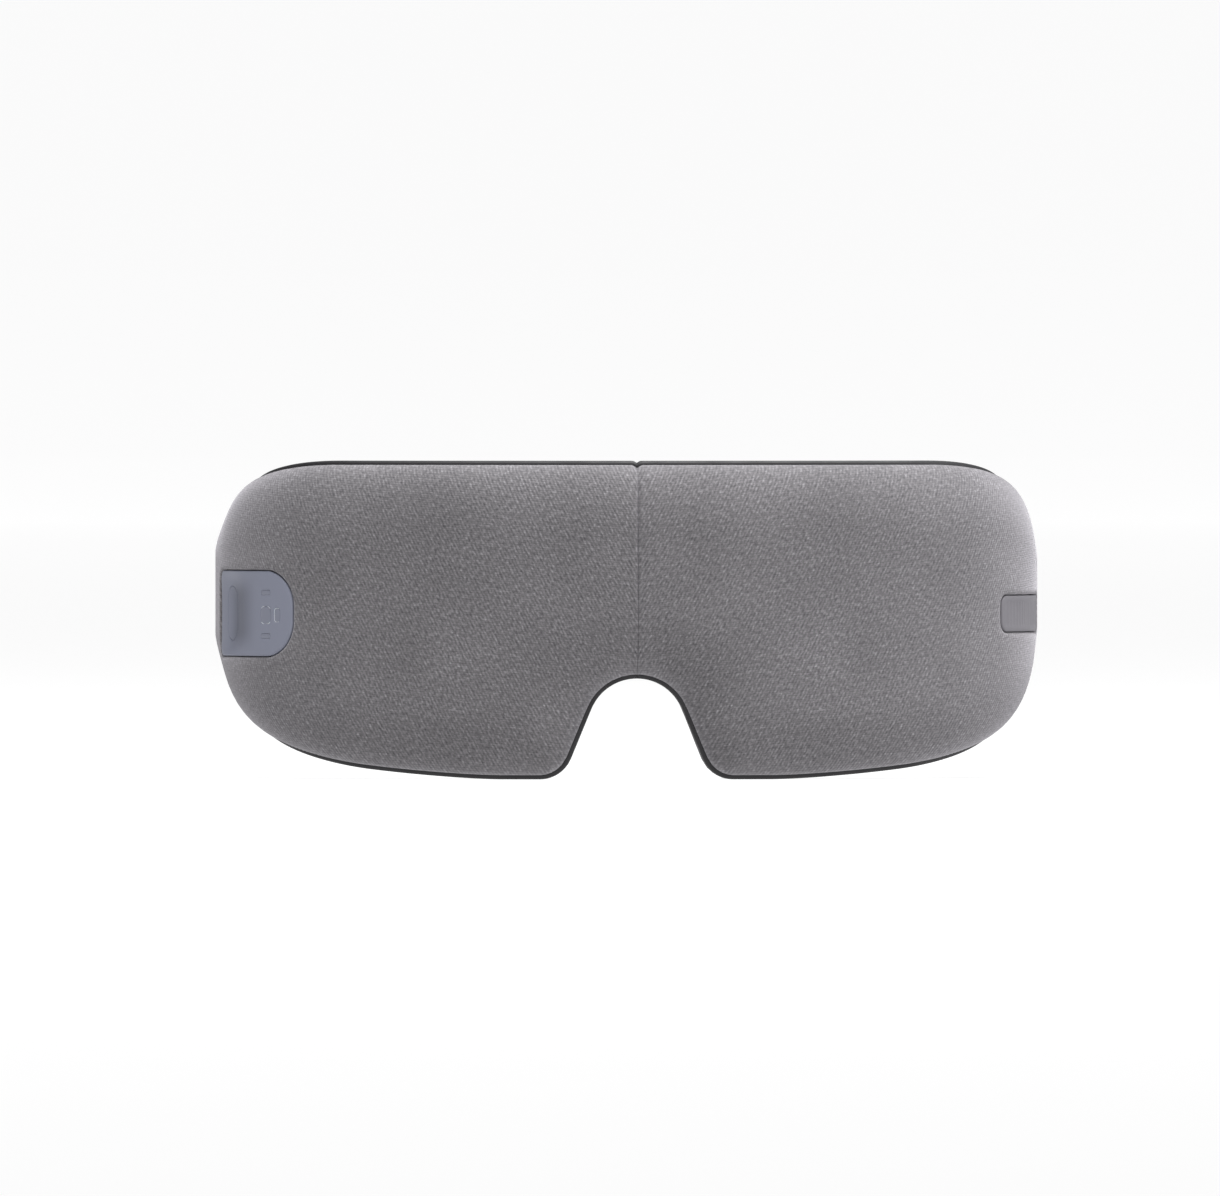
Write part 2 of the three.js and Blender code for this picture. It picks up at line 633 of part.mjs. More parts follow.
function hingeSpine() {
  add("hinge_pin", "steel", bar(0, AXIS_Y, PIN.radius, [PIN.low, PIN.high]));
  const capProfile = [
    [0, CAP.recess],
    [PIN.radius + GAP, CAP.recess],
    [PIN.radius + GAP, 0],
    [CAP.radius, 0],
    [CAP.radius, CAP.thick - CAP.chamfer],
    [CAP.radius - CAP.chamfer, CAP.thick],
    [0, CAP.thick],
  ];
  const low = KNUCKLES.left[0][0];
  const high = KNUCKLES.left[1][1];
  const above = new THREE.Matrix4().makeTranslation(0, AXIS_Y, high + GAP);
  add("hinge_top_cap", "shell", turned(capProfile, 10), above);
  const below = new THREE.Matrix4().makeRotationX(Math.PI).setPosition(0, AXIS_Y, low - GAP);
  add("hinge_bottom_cap", "shell", turned(capProfile, 10), below);
  const cover = new THREE.Shape();
  const { inner: innerRadius, outer: outerRadius, turn } = REAR_COVER;
  cover.absarc(0, 0, outerRadius, degToRad(90 - turn), degToRad(90 + turn));
  cover.absarc(0, 0, innerRadius, degToRad(90 + turn), degToRad(90 - turn), true);
  const base = new THREE.Matrix4().makeTranslation(0, AXIS_Y, low);
  add("hinge_rear_cover", "shell", extruded(cover, high - low), base);
}

/** Soft web in the seam, between the two halves' end walls, and what crosses behind it. */
function bridgeSoftParts() {
  const { edge, run, back, low, rise } = GUSSET;
  const insets = FRONT_ANGLES.map((angle) => edge + run * (1 - Math.cos(angle)));
  const above = insets.map((inset) => CROWN.top + inset);
  const heights = [...above, ...insets.map((inset) => HEIGHT - inset).reverse()];
  const angles = [...FRONT_ANGLES, ...FRONT_ANGLES.toReversed()];
  const fronts = angles.map((angle) => low + rise * Math.sin(angle));
  const half = END_WALL_S - GAP;
  const grid = (offset) => [-half, half].map((s) => heights.map((z, i) => [s, z, offset(i)]));
  add("centre_gusset", "fabric", between(RIGHT, grid((i) => fronts[i]), grid(() => back)));
  const { radius, y, z } = HOSE;
  const hose = new THREE.CylinderGeometry(radius, radius, 2 * CROSSING_X, 8).rotateZ(Math.PI / 2);
  add("bridge_air_hose", "silicone", hose, new THREE.Matrix4().makeTranslation(0, y, z));
  add("bridge_ribbon_cable", "board", box([-CROSSING_X, CROSSING_X], RIBBON.y, RIBBON.z));
}

// ---------------------------------------------------------------- strap
function strapAnchor(side) {
  const lugSpan = [ANCHOR.plateEnd - 0.2, ANCHOR.bar + LUG.past];
  const lug = (low) => blockAt(side, lugSpan, [low, low + LUG.thick], LUG.offset);
  const lowLug = STRAP.low - LUG.gap - LUG.thick;
  const highLug = STRAP.high + LUG.gap;
  const range = [lowLug, highLug + LUG.thick];
  const plate = blockAt(side, [ANCHOR.plate, ANCHOR.plateEnd], range, [-7.5, -1.5]);
  const neck = blockAt(side, NECK.s, NECK.z, NECK.offset);
  const shaft = barAt(side, ANCHOR.bar, ANCHOR.offset, BAR_RADIUS, [range[0] + 0.5, range[1] - 0.5], 10);
  const parts = [neck, lug(lowLug), lug(highLug), shaft];
  add(`${nameOf(side)}_strap_anchor`, "shell", shaped(plate, parts));
}

/** The strap's bar on the right wing tip, seen from above. */
const anchorBar = place(RIGHT, ANCHOR.bar, 0, ANCHOR.offset);

/** Where the ring's bars lie, so that the arms reach them both when the mask is open and when folded. */
const ringY = 2 * anchorBar.y - AXIS_Y + RING_X * Math.tan(FOLD / 2);

/** One arm of the strap: a bowed band with an eye round the anchor's bar and one round the ring's. */
function strapArm(side) {
  const start = anchorBar;
  const end = new THREE.Vector3(RING_X, ringY, 0);
  const chord = end.clone().sub(start);
  const radius = (chord.length() ** 2 / 4 + STRAP.sagitta ** 2) / (2 * STRAP.sagitta);
  const inward = new THREE.Vector3(-chord.y, chord.x, 0).normalize();
  const centre = start.clone().add(end).divideScalar(2).addScaledVector(inward, radius - STRAP.sagitta);
  const startAngle = Math.atan2(start.y - centre.y, start.x - centre.x);
  const endAngle = Math.atan2(end.y - centre.y, end.x - centre.x);
  const arc = (r) => spread(startAngle, endAngle, 10).map((angle) =>
    new THREE.Vector2(side * (centre.x + r * Math.cos(angle)), centre.y + r * Math.sin(angle)));
  const half = STRAP.thick / 2;
  const band = new THREE.Shape([...arc(radius + half), ...arc(radius - half).reverse()]);
  const range = [STRAP.low, STRAP.high];
  const through = [STRAP.low - 1, STRAP.high + 1];
  const loose = side === RIGHT ? LOOSE_EYE : STRAP;
  const eyes = [
    bar(side * start.x, start.y, STRAP.eye, range, 12),
    bar(side * end.x, end.y, loose.eye, range, 12),
  ];
  const holes = [
    bar(side * start.x, start.y, STRAP.bore, through, 10),
    bar(side * end.x, end.y, loose.bore, through, 10),
  ];
  const height = STRAP.high - STRAP.low;
  const geometry = shaped(extruded(band, height).translate(0, 0, STRAP.low), eyes, holes);
  add(`${nameOf(side)}_strap`, "strap", geometry);
}

function strapBuckle() {
  const range = [STRAP.low - 2.2, STRAP.high + 2.2];
  const rails = [STRAP.low - 3, STRAP.high + 0.4].map((low) =>
    box([-RING_X - 2, RING_X + 2], [ringY - 1.6, ringY + 1.6], [low, low + 2.6]));
  const bars = [-RING_X, RING_X].map((x) => bar(x, ringY, BAR_RADIUS, range, 10));
  add("strap_buckle", "shell", shaped(rails[0], [rails[1], ...bars]));
}

// ---------------------------------------------------------------- control panel and label
/** Depth of the finger scoop under the panel's face. */
function scoop(s, z) {
  const across = Math.exp(-(((s - SCOOP.s) / SCOOP.run) ** 2));
  const along = 1 - clamp(Math.abs(z - SCOOP.z) / SCOOP.half, 0, 1) ** 4;
  return SCOOP.depth * across * along;
}

const ICONS = [
  { s: 93.6, z: 46.2, width: 2.6, height: 1 },
  { s: 93.6, z: 40.6, width: 3, height: 4.4 },
  { s: 93.6, z: 35.4, width: 2.6, height: 1 },
  { s: 89.9, z: 40.6, width: 1.4, height: 3.4 },
];

/** Block over an icon's outline, over a range of offsets. */
function iconBlock({ s, z, width, height }, range, grow = 0) {
  const across = width / 2 + grow;
  const up = height / 2 + grow;
  return blockAt(LEFT, [s - across, s + across], [z - up, z + up], range);
}

function controlPanel() {
  const face = BULGE.height - PANEL_SINK;
  const back = BULGE.height - BOSS.depth;
  const flange = patch(LEFT, PANEL, level(face), level(face - FLANGE));
  const boss = patch(LEFT, inner(PANEL, BOSS.inset), level(face - 0.4), level(back));
  const groove = {
    from: SCOOP.s - 10,
    to: SCOOP.s + 10,
    low: SCOOP.z - SCOOP.half,
    high: SCOOP.z + SCOOP.half,
    fromCorner: 1,
    toCorner: 1,
  };
  const rows = [0, 0.12, 0.35, 0.65, 0.88, 1];
  const tools = [
    patch(LEFT, groove, level(face + 2), (s, z) => face - scoop(s, z), 0, rows),
    patch(LEFT, BUTTON, level(face + 2), level(back - 2), GAP),
    patch(LEFT, GUIDE, level(face - 1.6), level(back - 2), GAP),
    ...ICONS.map((icon) => iconBlock(icon, [face - 3, face + 2], GAP)),
  ];
  add("control_panel", "panel", shaped(flange, [boss], tools));

  const buttonRows = [0, 0.12, 0.5, 0.88, 1];
  const top = (s, z) => face - 0.15 - scoop(s, z);
  const cap = patch(LEFT, BUTTON, top, level(BULGE.height - 3.5), 0, buttonRows);
  const stem = plugAt(LEFT, SCOOP.s, SCOOP.z, 1.1, [BULGE.height - 4.7, BULGE.height - 3], 8);
  add("power_button", "panel", shaped(cap, [stem]));

  const studs = ICONS.map((icon) => iconBlock(icon, [face - 2.4, face - 0.1]));
  add("light_guide", "window", shaped(patch(LEFT, GUIDE, level(face - 1.9), level(face - 2.9)), studs));

  const switchFrame = (offset) => frameAt(LEFT, SCOOP.s, SCOOP.z, offset);
  const nub = new THREE.CylinderGeometry(1.6, 1.6, 0.8, 8).rotateX(Math.PI / 2).translate(0, 0, 1.5);
  add("tact_switch", "shell", shaped(new THREE.BoxGeometry(6, 6, 2.6), [nub]), switchFrame(0.2));
  add("button_board", "board", new THREE.BoxGeometry(10, 14, 1), switchFrame(-1.9));
}

function sideLabel() {
  const face = BULGE.height - PANEL_SINK;
  add("side_label", "panel", patch(RIGHT, LABEL, level(face), level(face - LABEL_THICK)));
}

// ---------------------------------------------------------------- electronics and air system
const VIBRATION = { s: 62, offset: -3, radius: 3.5, low: 10, high: 25 };
const SPEAKER = { s: 104, z: 41, offset: -9.6 };
const MAIN_BOARD = { s: 56, z: 52, offset: -8, size: [38, 24, 1.4] };
const CHIPS = [
  [[-14, -6], [-6, 2]],
  [[2, 7], [-8, -1]],
  [[10, 15], [1, 9]],
];
const BATTERY = { s: 51, z: 48, offset: -9.4, size: [36, 28], corner: 2, thick: 6.6 };
const PUMP = { s: 80, offset: -4, radius: 6.5, low: 20, high: 40 };
const VALVE = { s: 126, offset: -1.5, radius: 4, low: 30, high: 44 };

/** Can with a blind bore in its top for a shaft. */
function can({ radius, low, high }, bore, depth) {
  return turned([
    [0, low],
    [radius, low],
    [radius, high],
    [bore, high],
    [bore, high - depth],
    [0, high - depth],
  ], 10);
}

function vibrationMotor(side) {
  const frame = uprightAt(side, VIBRATION.s, 0, VIBRATION.offset);
  const { high } = VIBRATION;
  add(`${nameOf(side)}_vibration_motor`, "steel", can(VIBRATION, 1.1, 7), frame);
  const half = new THREE.Shape();
  half.absarc(0, 0, 3.2, 0, Math.PI);
  const weight = extruded(half, 4.5, 6).translate(0, 0, high + 1);
  const shaft = bar(0, 0, 0.8, [high - 6, high + 5.5], 8);
  add(`${nameOf(side)}_vibration_weight`, "copper", shaped(weight, [shaft]), frame);
}

function speaker(side) {
  const profile = [
    [0, 0],
    [5, 0],
    [5, 1.4],
    [9, 2.6],
    [9, 4],
    [2.5, 2.4],
    [0, 2.9],
  ];
  const { s, z, offset } = SPEAKER;
  add(`${nameOf(side)}_speaker`, "shell", turned(profile, 12), frameAt(side, s, z, offset));
}

function leftElectronics() {
  const { s, z, offset, size } = MAIN_BOARD;
  const chips = CHIPS.map(([x, y]) => box(x, y, [0.5, 2]));
  const board = shaped(new THREE.BoxGeometry(...size), chips);
  add("main_board", "board", board, frameAt(LEFT, s, z, offset));

  const mouth = extruded(portShape(-PORT.wall), PORT.high - PORT.low - 1, 3).translate(0, 0, -1);
  const tongue = new THREE.BoxGeometry(6, 0.7, 6).translate(0, 0, 3.5);
  const shell = extruded(portShape(0), PORT.high - PORT.low, 3);
  const hollow = shaped(shell, [], [mouth]);
  add("usb_c_port", "steel", shaped(hollow, [tongue]), uprightAt(LEFT, PORT.s, PORT.low, PORT.offset));
}

function rightAirSystem() {
  const { s, z, offset, size, corner, thick } = BATTERY;
  const cell = extruded(roundedRect(...size, corner), thick, 2);
  add("battery", "cell", cell, frameAt(RIGHT, s, z, offset));

  const pumpFrame = uprightAt(RIGHT, PUMP.s, 0, PUMP.offset);
  add("pump_motor", "steel", can(PUMP, 1.3, 8), pumpFrame);
  const headLow = PUMP.high + GAP;
  const head = box([-7.5, 7.5], [-6, 6], [headLow, 54]);
  const outlet = bar(0, 0, 1.4, [53, 58], 8);
  const chamber = bar(0, 0, 5.4, [headLow - 1, 47.5], 14);
  add("pump_head", "shell", shaped(head, [outlet], [chamber]), pumpFrame);
  const eccentric = bar(1, 0, 3.8, [42, 45.5], 12);
  add("pump_eccentric", "steel", shaped(eccentric, [bar(0, 0, 1, [33, 44], 8)]), pumpFrame);

  const valveFrame = uprightAt(RIGHT, VALVE.s, 0, VALVE.offset);
  add("release_valve", "shell", can(VALVE, 1.6, 9), valveFrame);
  const plungerTop = bar(0, 0, 2.4, [VALVE.high + 1.6, VALVE.high + 3], 10);
  const plungerRod = bar(0, 0, 1.2, [VALVE.high - 7, VALVE.high + 2.5], 8);
  add("valve_plunger", "steel", shaped(plungerTop, [plungerRod]), valveFrame);
}

// ---------------------------------------------------------------- assembly
hingeSpine();
bridgeSoftParts();
for (const side of [LEFT, RIGHT]) {
  fabricSkin(side);
  frontShell(side);
  edgeTrim(side);
  rearShell(side);
  facePad(side);
  add(`${nameOf(side)}_airbag`, "silicone", pocketSheet(side, AIRBAG, 0));
  add(`${nameOf(side)}_heating_film`, "copper", pocketSheet(side, FILM, 1));
  hingeLeaf(side);
  screws(side);
  strapAnchor(side);
  strapArm(side);
  vibrationMotor(side);
  speaker(side);
}
strapBuckle();
controlPanel();
sideLabel();
leftElectronics();
rightAirSystem();

// the origin is under the middle of the whole object, on the surface that it stands on
const middle = new THREE.Box3().setFromObject(mask).getCenter(new THREE.Vector3());
mask.position.y = -middle.y;

export default mask;
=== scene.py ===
# Looks of a folding eye massager mask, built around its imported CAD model.
#
# Shapes are worked out in millimetres on each half's developed sheet, as in the CAD: s runs along the
# plan curve from the centre seam to the wing tip, z is the height, and an offset is the distance from
# the plan curve, positive towards the front. They become metres when a mesh is made.
import math

import bmesh
import bpy
import numpy as np
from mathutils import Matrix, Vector
from mathutils.geometry import delaunay_2d_cdt


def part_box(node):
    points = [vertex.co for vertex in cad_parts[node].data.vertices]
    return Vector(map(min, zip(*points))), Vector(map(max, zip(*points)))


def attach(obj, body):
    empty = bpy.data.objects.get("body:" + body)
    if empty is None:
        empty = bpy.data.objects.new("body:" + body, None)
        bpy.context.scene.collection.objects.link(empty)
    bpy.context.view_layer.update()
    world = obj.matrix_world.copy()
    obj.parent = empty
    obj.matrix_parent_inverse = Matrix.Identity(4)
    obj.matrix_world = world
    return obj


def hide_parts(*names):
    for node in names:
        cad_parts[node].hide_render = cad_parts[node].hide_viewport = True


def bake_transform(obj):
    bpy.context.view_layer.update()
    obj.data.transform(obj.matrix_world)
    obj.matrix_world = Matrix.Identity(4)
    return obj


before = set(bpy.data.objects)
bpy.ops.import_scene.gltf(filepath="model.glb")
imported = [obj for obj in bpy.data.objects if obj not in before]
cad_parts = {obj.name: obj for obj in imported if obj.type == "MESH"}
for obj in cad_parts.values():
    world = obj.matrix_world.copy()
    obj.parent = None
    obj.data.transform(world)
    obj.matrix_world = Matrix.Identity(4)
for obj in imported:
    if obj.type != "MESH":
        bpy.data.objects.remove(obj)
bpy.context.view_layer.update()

MM = 0.001
SIDES = {"left": -1, "right": 1}


def rounded_area(start, end, low, high, start_corner, end_corner):
    """A rounded rectangle on the sheet. Its corners' radii may differ between its two ends."""
    corners = {"from_corner": start_corner, "to_corner": end_corner}
    return {"from": start, "to": end, "low": low, "high": high, **corners}


def box_mm(node):
    """Lowest and highest corner of a CAD node, in mm."""
    return np.array([list(corner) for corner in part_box(node)]) / MM


def middle_mm(node):
    return box_mm(node).mean(axis=0)


# ---------------------------------------------------------------- driving dimensions, as in the CAD
HEIGHT = 79.0
FRONT_RADIUS = 155.0
FRONT_TURN = math.radians(25)
TEMPLE_RADIUS = 50.0
WING_TURN = math.radians(84)
TIP_S = 143.0
CROWN_RADIUS = 12.4
CROWN_TOP = 25.0
FLANK_SLOPE = 2.4
FOOT_RADIUS = 8.5
FLAT_END = 34.0
BOTTOM_RISE = ((FLAT_END, 0.0113, 1.52), (67.0, 0.0025, 2.0))
TOP_DROP = (76.8, 0.00345, 2.0)
TIP_ROUND = 6.0
BULGE = 7.5
BULGE_RUN = 16.0
FABRIC_EDGE = 1.05
FABRIC_THICK = 1.2
SHELL_END = 1.6
TRIM_FRONT, TRIM_BACK, TRIM_WIDTH = -0.3, -3.2, 4.1
TRAY = {"edge": 0.8, "rim": -3.5, "run": 8.0, "deep": 14.0, "tip": 8.0, "hinge_face": 7.5}
TRAY_RAMP, TRAY_THINS = (22.6, 36.0), 95.0
PAD = {"start": 4.6, "edge": 0.2, "rim": -3.85, "run": 14.0, "clear": 0.35}
PAD_HINGE_FACE, PAD_HINGE_END = 10.5, 25.0
HINGE_Y = 11.0
STRAP_SAGITTA = 20.0
BAR_RADIUS = 1.3
ANCHOR_BAR, ANCHOR_OFFSET = TIP_S + 5.5, -4.5
RING_X = 5.0
PANEL = rounded_area(85.0, 119.5, 30.4, 51.6, 8.6, 3.0)
BUTTON = rounded_area(109.8, 115.2, 34.3, 47.7, 2.7, 2.7)
LABEL = rounded_area(94.5, 126.5, 36.4, 45.4, 2.4, 2.4)
SCOOP_S, SCOOP_Z, SCOOP_REACH, SCOOP_DEPTH = 111.0, 41.0, 10.6, 2.0
SCOOP_RUNS = (7.5, 6.0)  # how gently the scoop sinks from the front, and how quickly it ends behind
SHIFT_Y = middle_mm("hinge_pin")[1] - HINGE_Y


# ---------------------------------------------------------------- plan curve and outline
FRONT_LENGTH = FRONT_RADIUS * FRONT_TURN
ARC_LENGTH = FRONT_LENGTH + TEMPLE_RADIUS * (WING_TURN - FRONT_TURN)


def plan(s):
    """Place and direction of the right half's plan curve at length s from the seam."""
    s = np.asarray(s, float)
    first = np.minimum(s, FRONT_LENGTH) / FRONT_RADIUS
    turn = first + np.clip(s - FRONT_LENGTH, 0, ARC_LENGTH - FRONT_LENGTH) / TEMPLE_RADIUS
    straight = np.maximum(0, s - ARC_LENGTH)
    front_x, front_y = FRONT_RADIUS * np.sin(first), FRONT_RADIUS * (1 - np.cos(first))
    x = front_x + TEMPLE_RADIUS * (np.sin(turn) - np.sin(first)) + straight * np.cos(turn)
    y = front_y + TEMPLE_RADIUS * (np.cos(first) - np.cos(turn)) + straight * np.sin(turn)
    return x, y, turn


def place(side, s, z, offset):
    """Points in the row frame, in mm, of (s, z) at an offset."""
    x, y, turn = plan(s)
    parts = side * (x + offset * np.sin(turn)), y - offset * np.cos(turn) + SHIFT_Y, z + 0 * x
    return np.stack(parts, axis=-1)


def arc_drop(radius, x):
    return radius - np.sqrt(np.maximum(0, radius**2 - np.asarray(x, float) ** 2))


def climb(s, rise):
    start, factor, power = rise
    return factor * np.maximum(0, s - start) ** power


FLANK_HYPOT = math.hypot(1, FLANK_SLOPE)
FLANK_S = CROWN_RADIUS * FLANK_SLOPE / FLANK_HYPOT
FLANK_Z = CROWN_TOP - CROWN_RADIUS + CROWN_RADIUS / FLANK_HYPOT
FOOT_S = FLANK_S + (FLANK_Z - FOOT_RADIUS + FOOT_RADIUS / FLANK_HYPOT) / FLANK_SLOPE
FOOT_END = FOOT_S + FOOT_RADIUS * FLANK_SLOPE / FLANK_HYPOT
SEAM_ROUND = 1.3  # radius of the cover's corners at the seam


def tip_drop(s):
    return arc_drop(TIP_ROUND, np.maximum(0, s - TIP_S + TIP_ROUND))


def bottom_edge(s):
    s = np.asarray(s, float)
    z = sum(climb(s, rise) for rise in BOTTOM_RISE) + tip_drop(s)
    z = np.where(s < FOOT_END, arc_drop(FOOT_RADIUS, np.maximum(0, FOOT_END - s)), z)
    z = np.where(s < FOOT_S, FLANK_Z - FLANK_SLOPE * (s - FLANK_S), z)
    return np.where(s < FLANK_S, CROWN_TOP - arc_drop(CROWN_RADIUS, s), z)


def top_edge(s):
    s = np.asarray(s, float)
    seam_dip = 0.5 * arc_drop(SEAM_ROUND, np.maximum(0, SEAM_ROUND - s))
    return HEIGHT - climb(s, TOP_DROP) - tip_drop(s) - seam_dip


def edge_path(edge, count=320):
    """Points along one edge, closer together towards the wing tip, where it turns."""
    t = np.linspace(0, 1, count)
    s = TIP_S * (1 - (1 - t) ** 1.8)
    return np.column_stack([s, edge(s)])


LOWER_PATH = edge_path(bottom_edge)
UPPER_PATH = edge_path(top_edge)
OUTLINE = np.vstack([LOWER_PATH, UPPER_PATH[::-1]])


def slices(count, size=4000):
    """Slices that cover that many rows a part at a time, to keep tables small."""
    return [slice(i, i + size) for i in range(0, count, size)]


def distance_to(path, s, z):
    """Distance of each (s, z) from a polyline."""
    s, z = np.broadcast_arrays(np.asarray(s, float), np.asarray(z, float))
    flat_s, flat_z = s.ravel(), z.ravel()
    start, step = path[:-1], np.diff(path, axis=0)
    length = np.maximum((step**2).sum(1), 1e-12)
    found = np.empty(len(flat_s))
    for part in slices(len(flat_s)):
        ds = flat_s[part, None] - start[:, 0]
        dz = flat_z[part, None] - start[:, 1]
        t = np.clip((ds * step[:, 0] + dz * step[:, 1]) / length, 0, 1)
        found[part] = np.hypot(ds - t * step[:, 0], dz - t * step[:, 1]).min(1)
    return found.reshape(s.shape)


def height_at(path, edge, s, inset):
    """Height at each s where the distance from that path reaches the inset."""
    near, far = edge(s), np.full(len(s), HEIGHT / 2)
    for _ in range(24):
        middle = (near + far) / 2
        closer = distance_to(path, s, middle) < inset
        near, far = np.where(closer, middle, near), np.where(closer, far, middle)
    return far


def smooth(x, low, high):
    t = np.clip((np.asarray(x, float) - low) / (high - low), 0, 1)
    return t * t * (3 - 2 * t)


def spaced(low, high, step):
    """Even values from low to high, at most about one step apart."""
    return np.linspace(low, high, max(2, math.ceil((high - low) / step) + 1))


def quarter(edge, run, count):
    """Insets of a quarter ellipse's points, from its rim to its top."""
    return edge + run * (1 - np.cos(np.linspace(0, math.pi / 2, count)))


def border_rise(s, z, edge, run):
    """0 at the inset edge, rising as a quarter ellipse to 1 at edge + run."""
    share = np.clip((distance_to(OUTLINE, s, z) - edge) / run, 0, 1)
    return np.sqrt(1 - (1 - share) ** 2)


def sheet_grid(start, edge, run, count, step):
    """(s, z) grid over a half: its rows bunch up on the border, as its columns do at the wing tip."""
    insets = quarter(edge, run, count)
    even = spaced(start[-1], TIP_S - insets[-1], step)
    columns = np.concatenate([start, even[1:], (TIP_S - insets[::-1])[1:]])
    low = np.stack([height_at(LOWER_PATH, bottom_edge, columns, i) for i in insets], axis=1)
    high = np.stack([height_at(UPPER_PATH, top_edge, columns, i) for i in insets[::-1]], axis=1)
    share = np.linspace(0, 1, math.ceil((HEIGHT - 2 * insets[-1]) / step))[1:-1]
    between = low[:, -1:] + (high[:, :1] - low[:, -1:]) * share
    z = np.concatenate([low, between, high], axis=1)
    return np.repeat(columns[:, None], z.shape[1], axis=1), z


# ---------------------------------------------------------------- meshes
def added(name, data):
    """A new object in the scene."""
    thing = bpy.data.objects.new(name, data)
    bpy.context.scene.collection.objects.link(thing)
    return thing


def make(name, points, faces, uv=None, sharp=35):
    """A mesh object from points in mm. uv is a (u, v) pair for each point, in metres."""
    mesh = bpy.data.meshes.new(name)
    mesh.from_pydata((np.asarray(points) * MM).tolist(), [], [list(map(int, f)) for f in faces])
    if uv is not None:
        corner = np.empty(len(mesh.loops), np.int32)
        mesh.loops.foreach_get("vertex_index", corner)
        layer = mesh.uv_layers.new(name="sheet")
        layer.uv.foreach_set("vector", np.asarray(uv, np.float32)[corner].ravel())
    work = bmesh.new()
    work.from_mesh(mesh)
    bmesh.ops.remove_doubles(work, verts=work.verts, dist=1e-7)
    bmesh.ops.recalc_face_normals(work, faces=work.faces)
    work.to_mesh(mesh)
    work.free()
    shade(mesh, sharp)
    return added(name, mesh)


def shade(mesh, sharp):
    """Smooth shading, but for edges sharper than that angle."""
    mesh.shade_smooth()
    mesh.set_sharp_from_angle(angle=math.radians(sharp))


def apply_all(thing):
    """Turns a piece's modifiers into its mesh."""
    graph = bpy.context.evaluated_depsgraph_get()
    mesh = bpy.data.meshes.new_from_object(thing.evaluated_get(graph))
    thing.modifiers.clear()
    thing.data = mesh


def combine(base, operation, others):
    """Joins or cuts base with other solids, which are deleted."""
    for other in others:
        step = base.modifiers.new("combine", "BOOLEAN")
        step.operation = operation
        step.solver = "EXACT"
        step.object = other
    apply_all(base)
    for other in others:
        bpy.data.objects.remove(other)


def joined(name, things, sharp=35):
    """One solid from several that overlap."""
    base = things[0]
    combine(base, "UNION", things[1:])
    base.name = name
    shade(base.data, sharp)
    return base


def cut(base, tool):
    combine(base, "DIFFERENCE", [tool])


def bevelled(thing, width, segments=3, limit=30):
    bevel = thing.modifiers.new("bevel", "BEVEL")
    bevel.width = width * MM
    bevel.segments = segments
    bevel.limit_method = "ANGLE"
    bevel.angle_limit = math.radians(limit)
    apply_all(thing)
    shade(thing.data, 50)
    return thing


def grid_faces(count_u, count_v, base=0):
    i, j = np.meshgrid(np.arange(count_u - 1), np.arange(count_v - 1), indexing="ij")
    a = base + i * count_v + j
    return np.stack([a, a + count_v, a + count_v + 1, a + 1], axis=-1).reshape(-1, 4)


def ring_faces(rows, count, closed=False):
    """Quads between rows of points in rings. A run that isn't closed gets a cap at each end."""
    faces = []
    for i in range(rows if closed else rows - 1):
        near, far = i * count, (i + 1) % rows * count
        faces += [(near + j, far + j, far + (j + 1) % count, near + (j + 1) % count) for j in range(count)]
    if not closed:
        faces += [list(range(count)), list(range((rows - 1) * count, rows * count))]
    return faces


def grid_rim(columns, rows):
    """Indices round the border of a grid."""
    index = np.arange(columns * rows).reshape(columns, rows)
    return np.concatenate([index[:, 0], index[-1, 1:], index[-2::-1, -1], index[0, -2:0:-1]])


def between(name, side, s, z, front, rear, sharp=35):
    """Closed solid over an (s, z) grid, between two grids of offsets."""
    columns, rows = s.shape
    count = columns * rows
    points = np.concatenate([place(side, s, z, o).reshape(-1, 3) for o in (front, rear)])
    top, under = grid_faces(columns, rows), grid_faces(columns, rows, count)[:, ::-1]
    rim = grid_rim(columns, rows)
    following = np.roll(rim, -1)
    walls = np.stack([rim, rim + count, following + count, following], axis=-1)
    uv = np.tile(np.stack([s, z], axis=-1).reshape(-1, 2) * MM, (2, 1))
    return make(name, points, np.concatenate([top, under, walls]), uv, sharp)


def sheet_block(name, side, s, z, offset):
    """Block over ranges of s, z and offset."""
    s, z = np.meshgrid(s, z, indexing="ij")
    return between(name, side, s, z, 0 * s + offset[1], 0 * s + offset[0])


def triangulated(loops, points, kind, tolerance):
    """Flat triangles that follow closed loops. kind is the output type of Blender's triangulation."""
    edges, count = [], 0
    for loop in loops:
        ids = count + np.arange(len(loop))
        edges += list(zip(ids.tolist(), np.roll(ids, -1).tolist()))
        count += len(loop)
    flat = [Vector(p) for p in np.concatenate([*loops, *points]).tolist()]
    made = delaunay_2d_cdt(flat, edges, [], kind, tolerance)
    return np.array([list(v) for v in made[0]]), np.array(made[2])


def shell_faces(triangles, count):
    """Faces of a solid: triangles on one side, the same reversed on the other, and walls between."""
    directed = np.concatenate([triangles[:, [0, 1]], triangles[:, [1, 2]], triangles[:, [2, 0]]]).tolist()
    known = {tuple(edge) for edge in directed}
    walls = [[a, a + count, b + count, b] for a, b in directed if (b, a) not in known]
    return [*triangles.tolist(), *(triangles[:, ::-1] + count).tolist(), *walls]


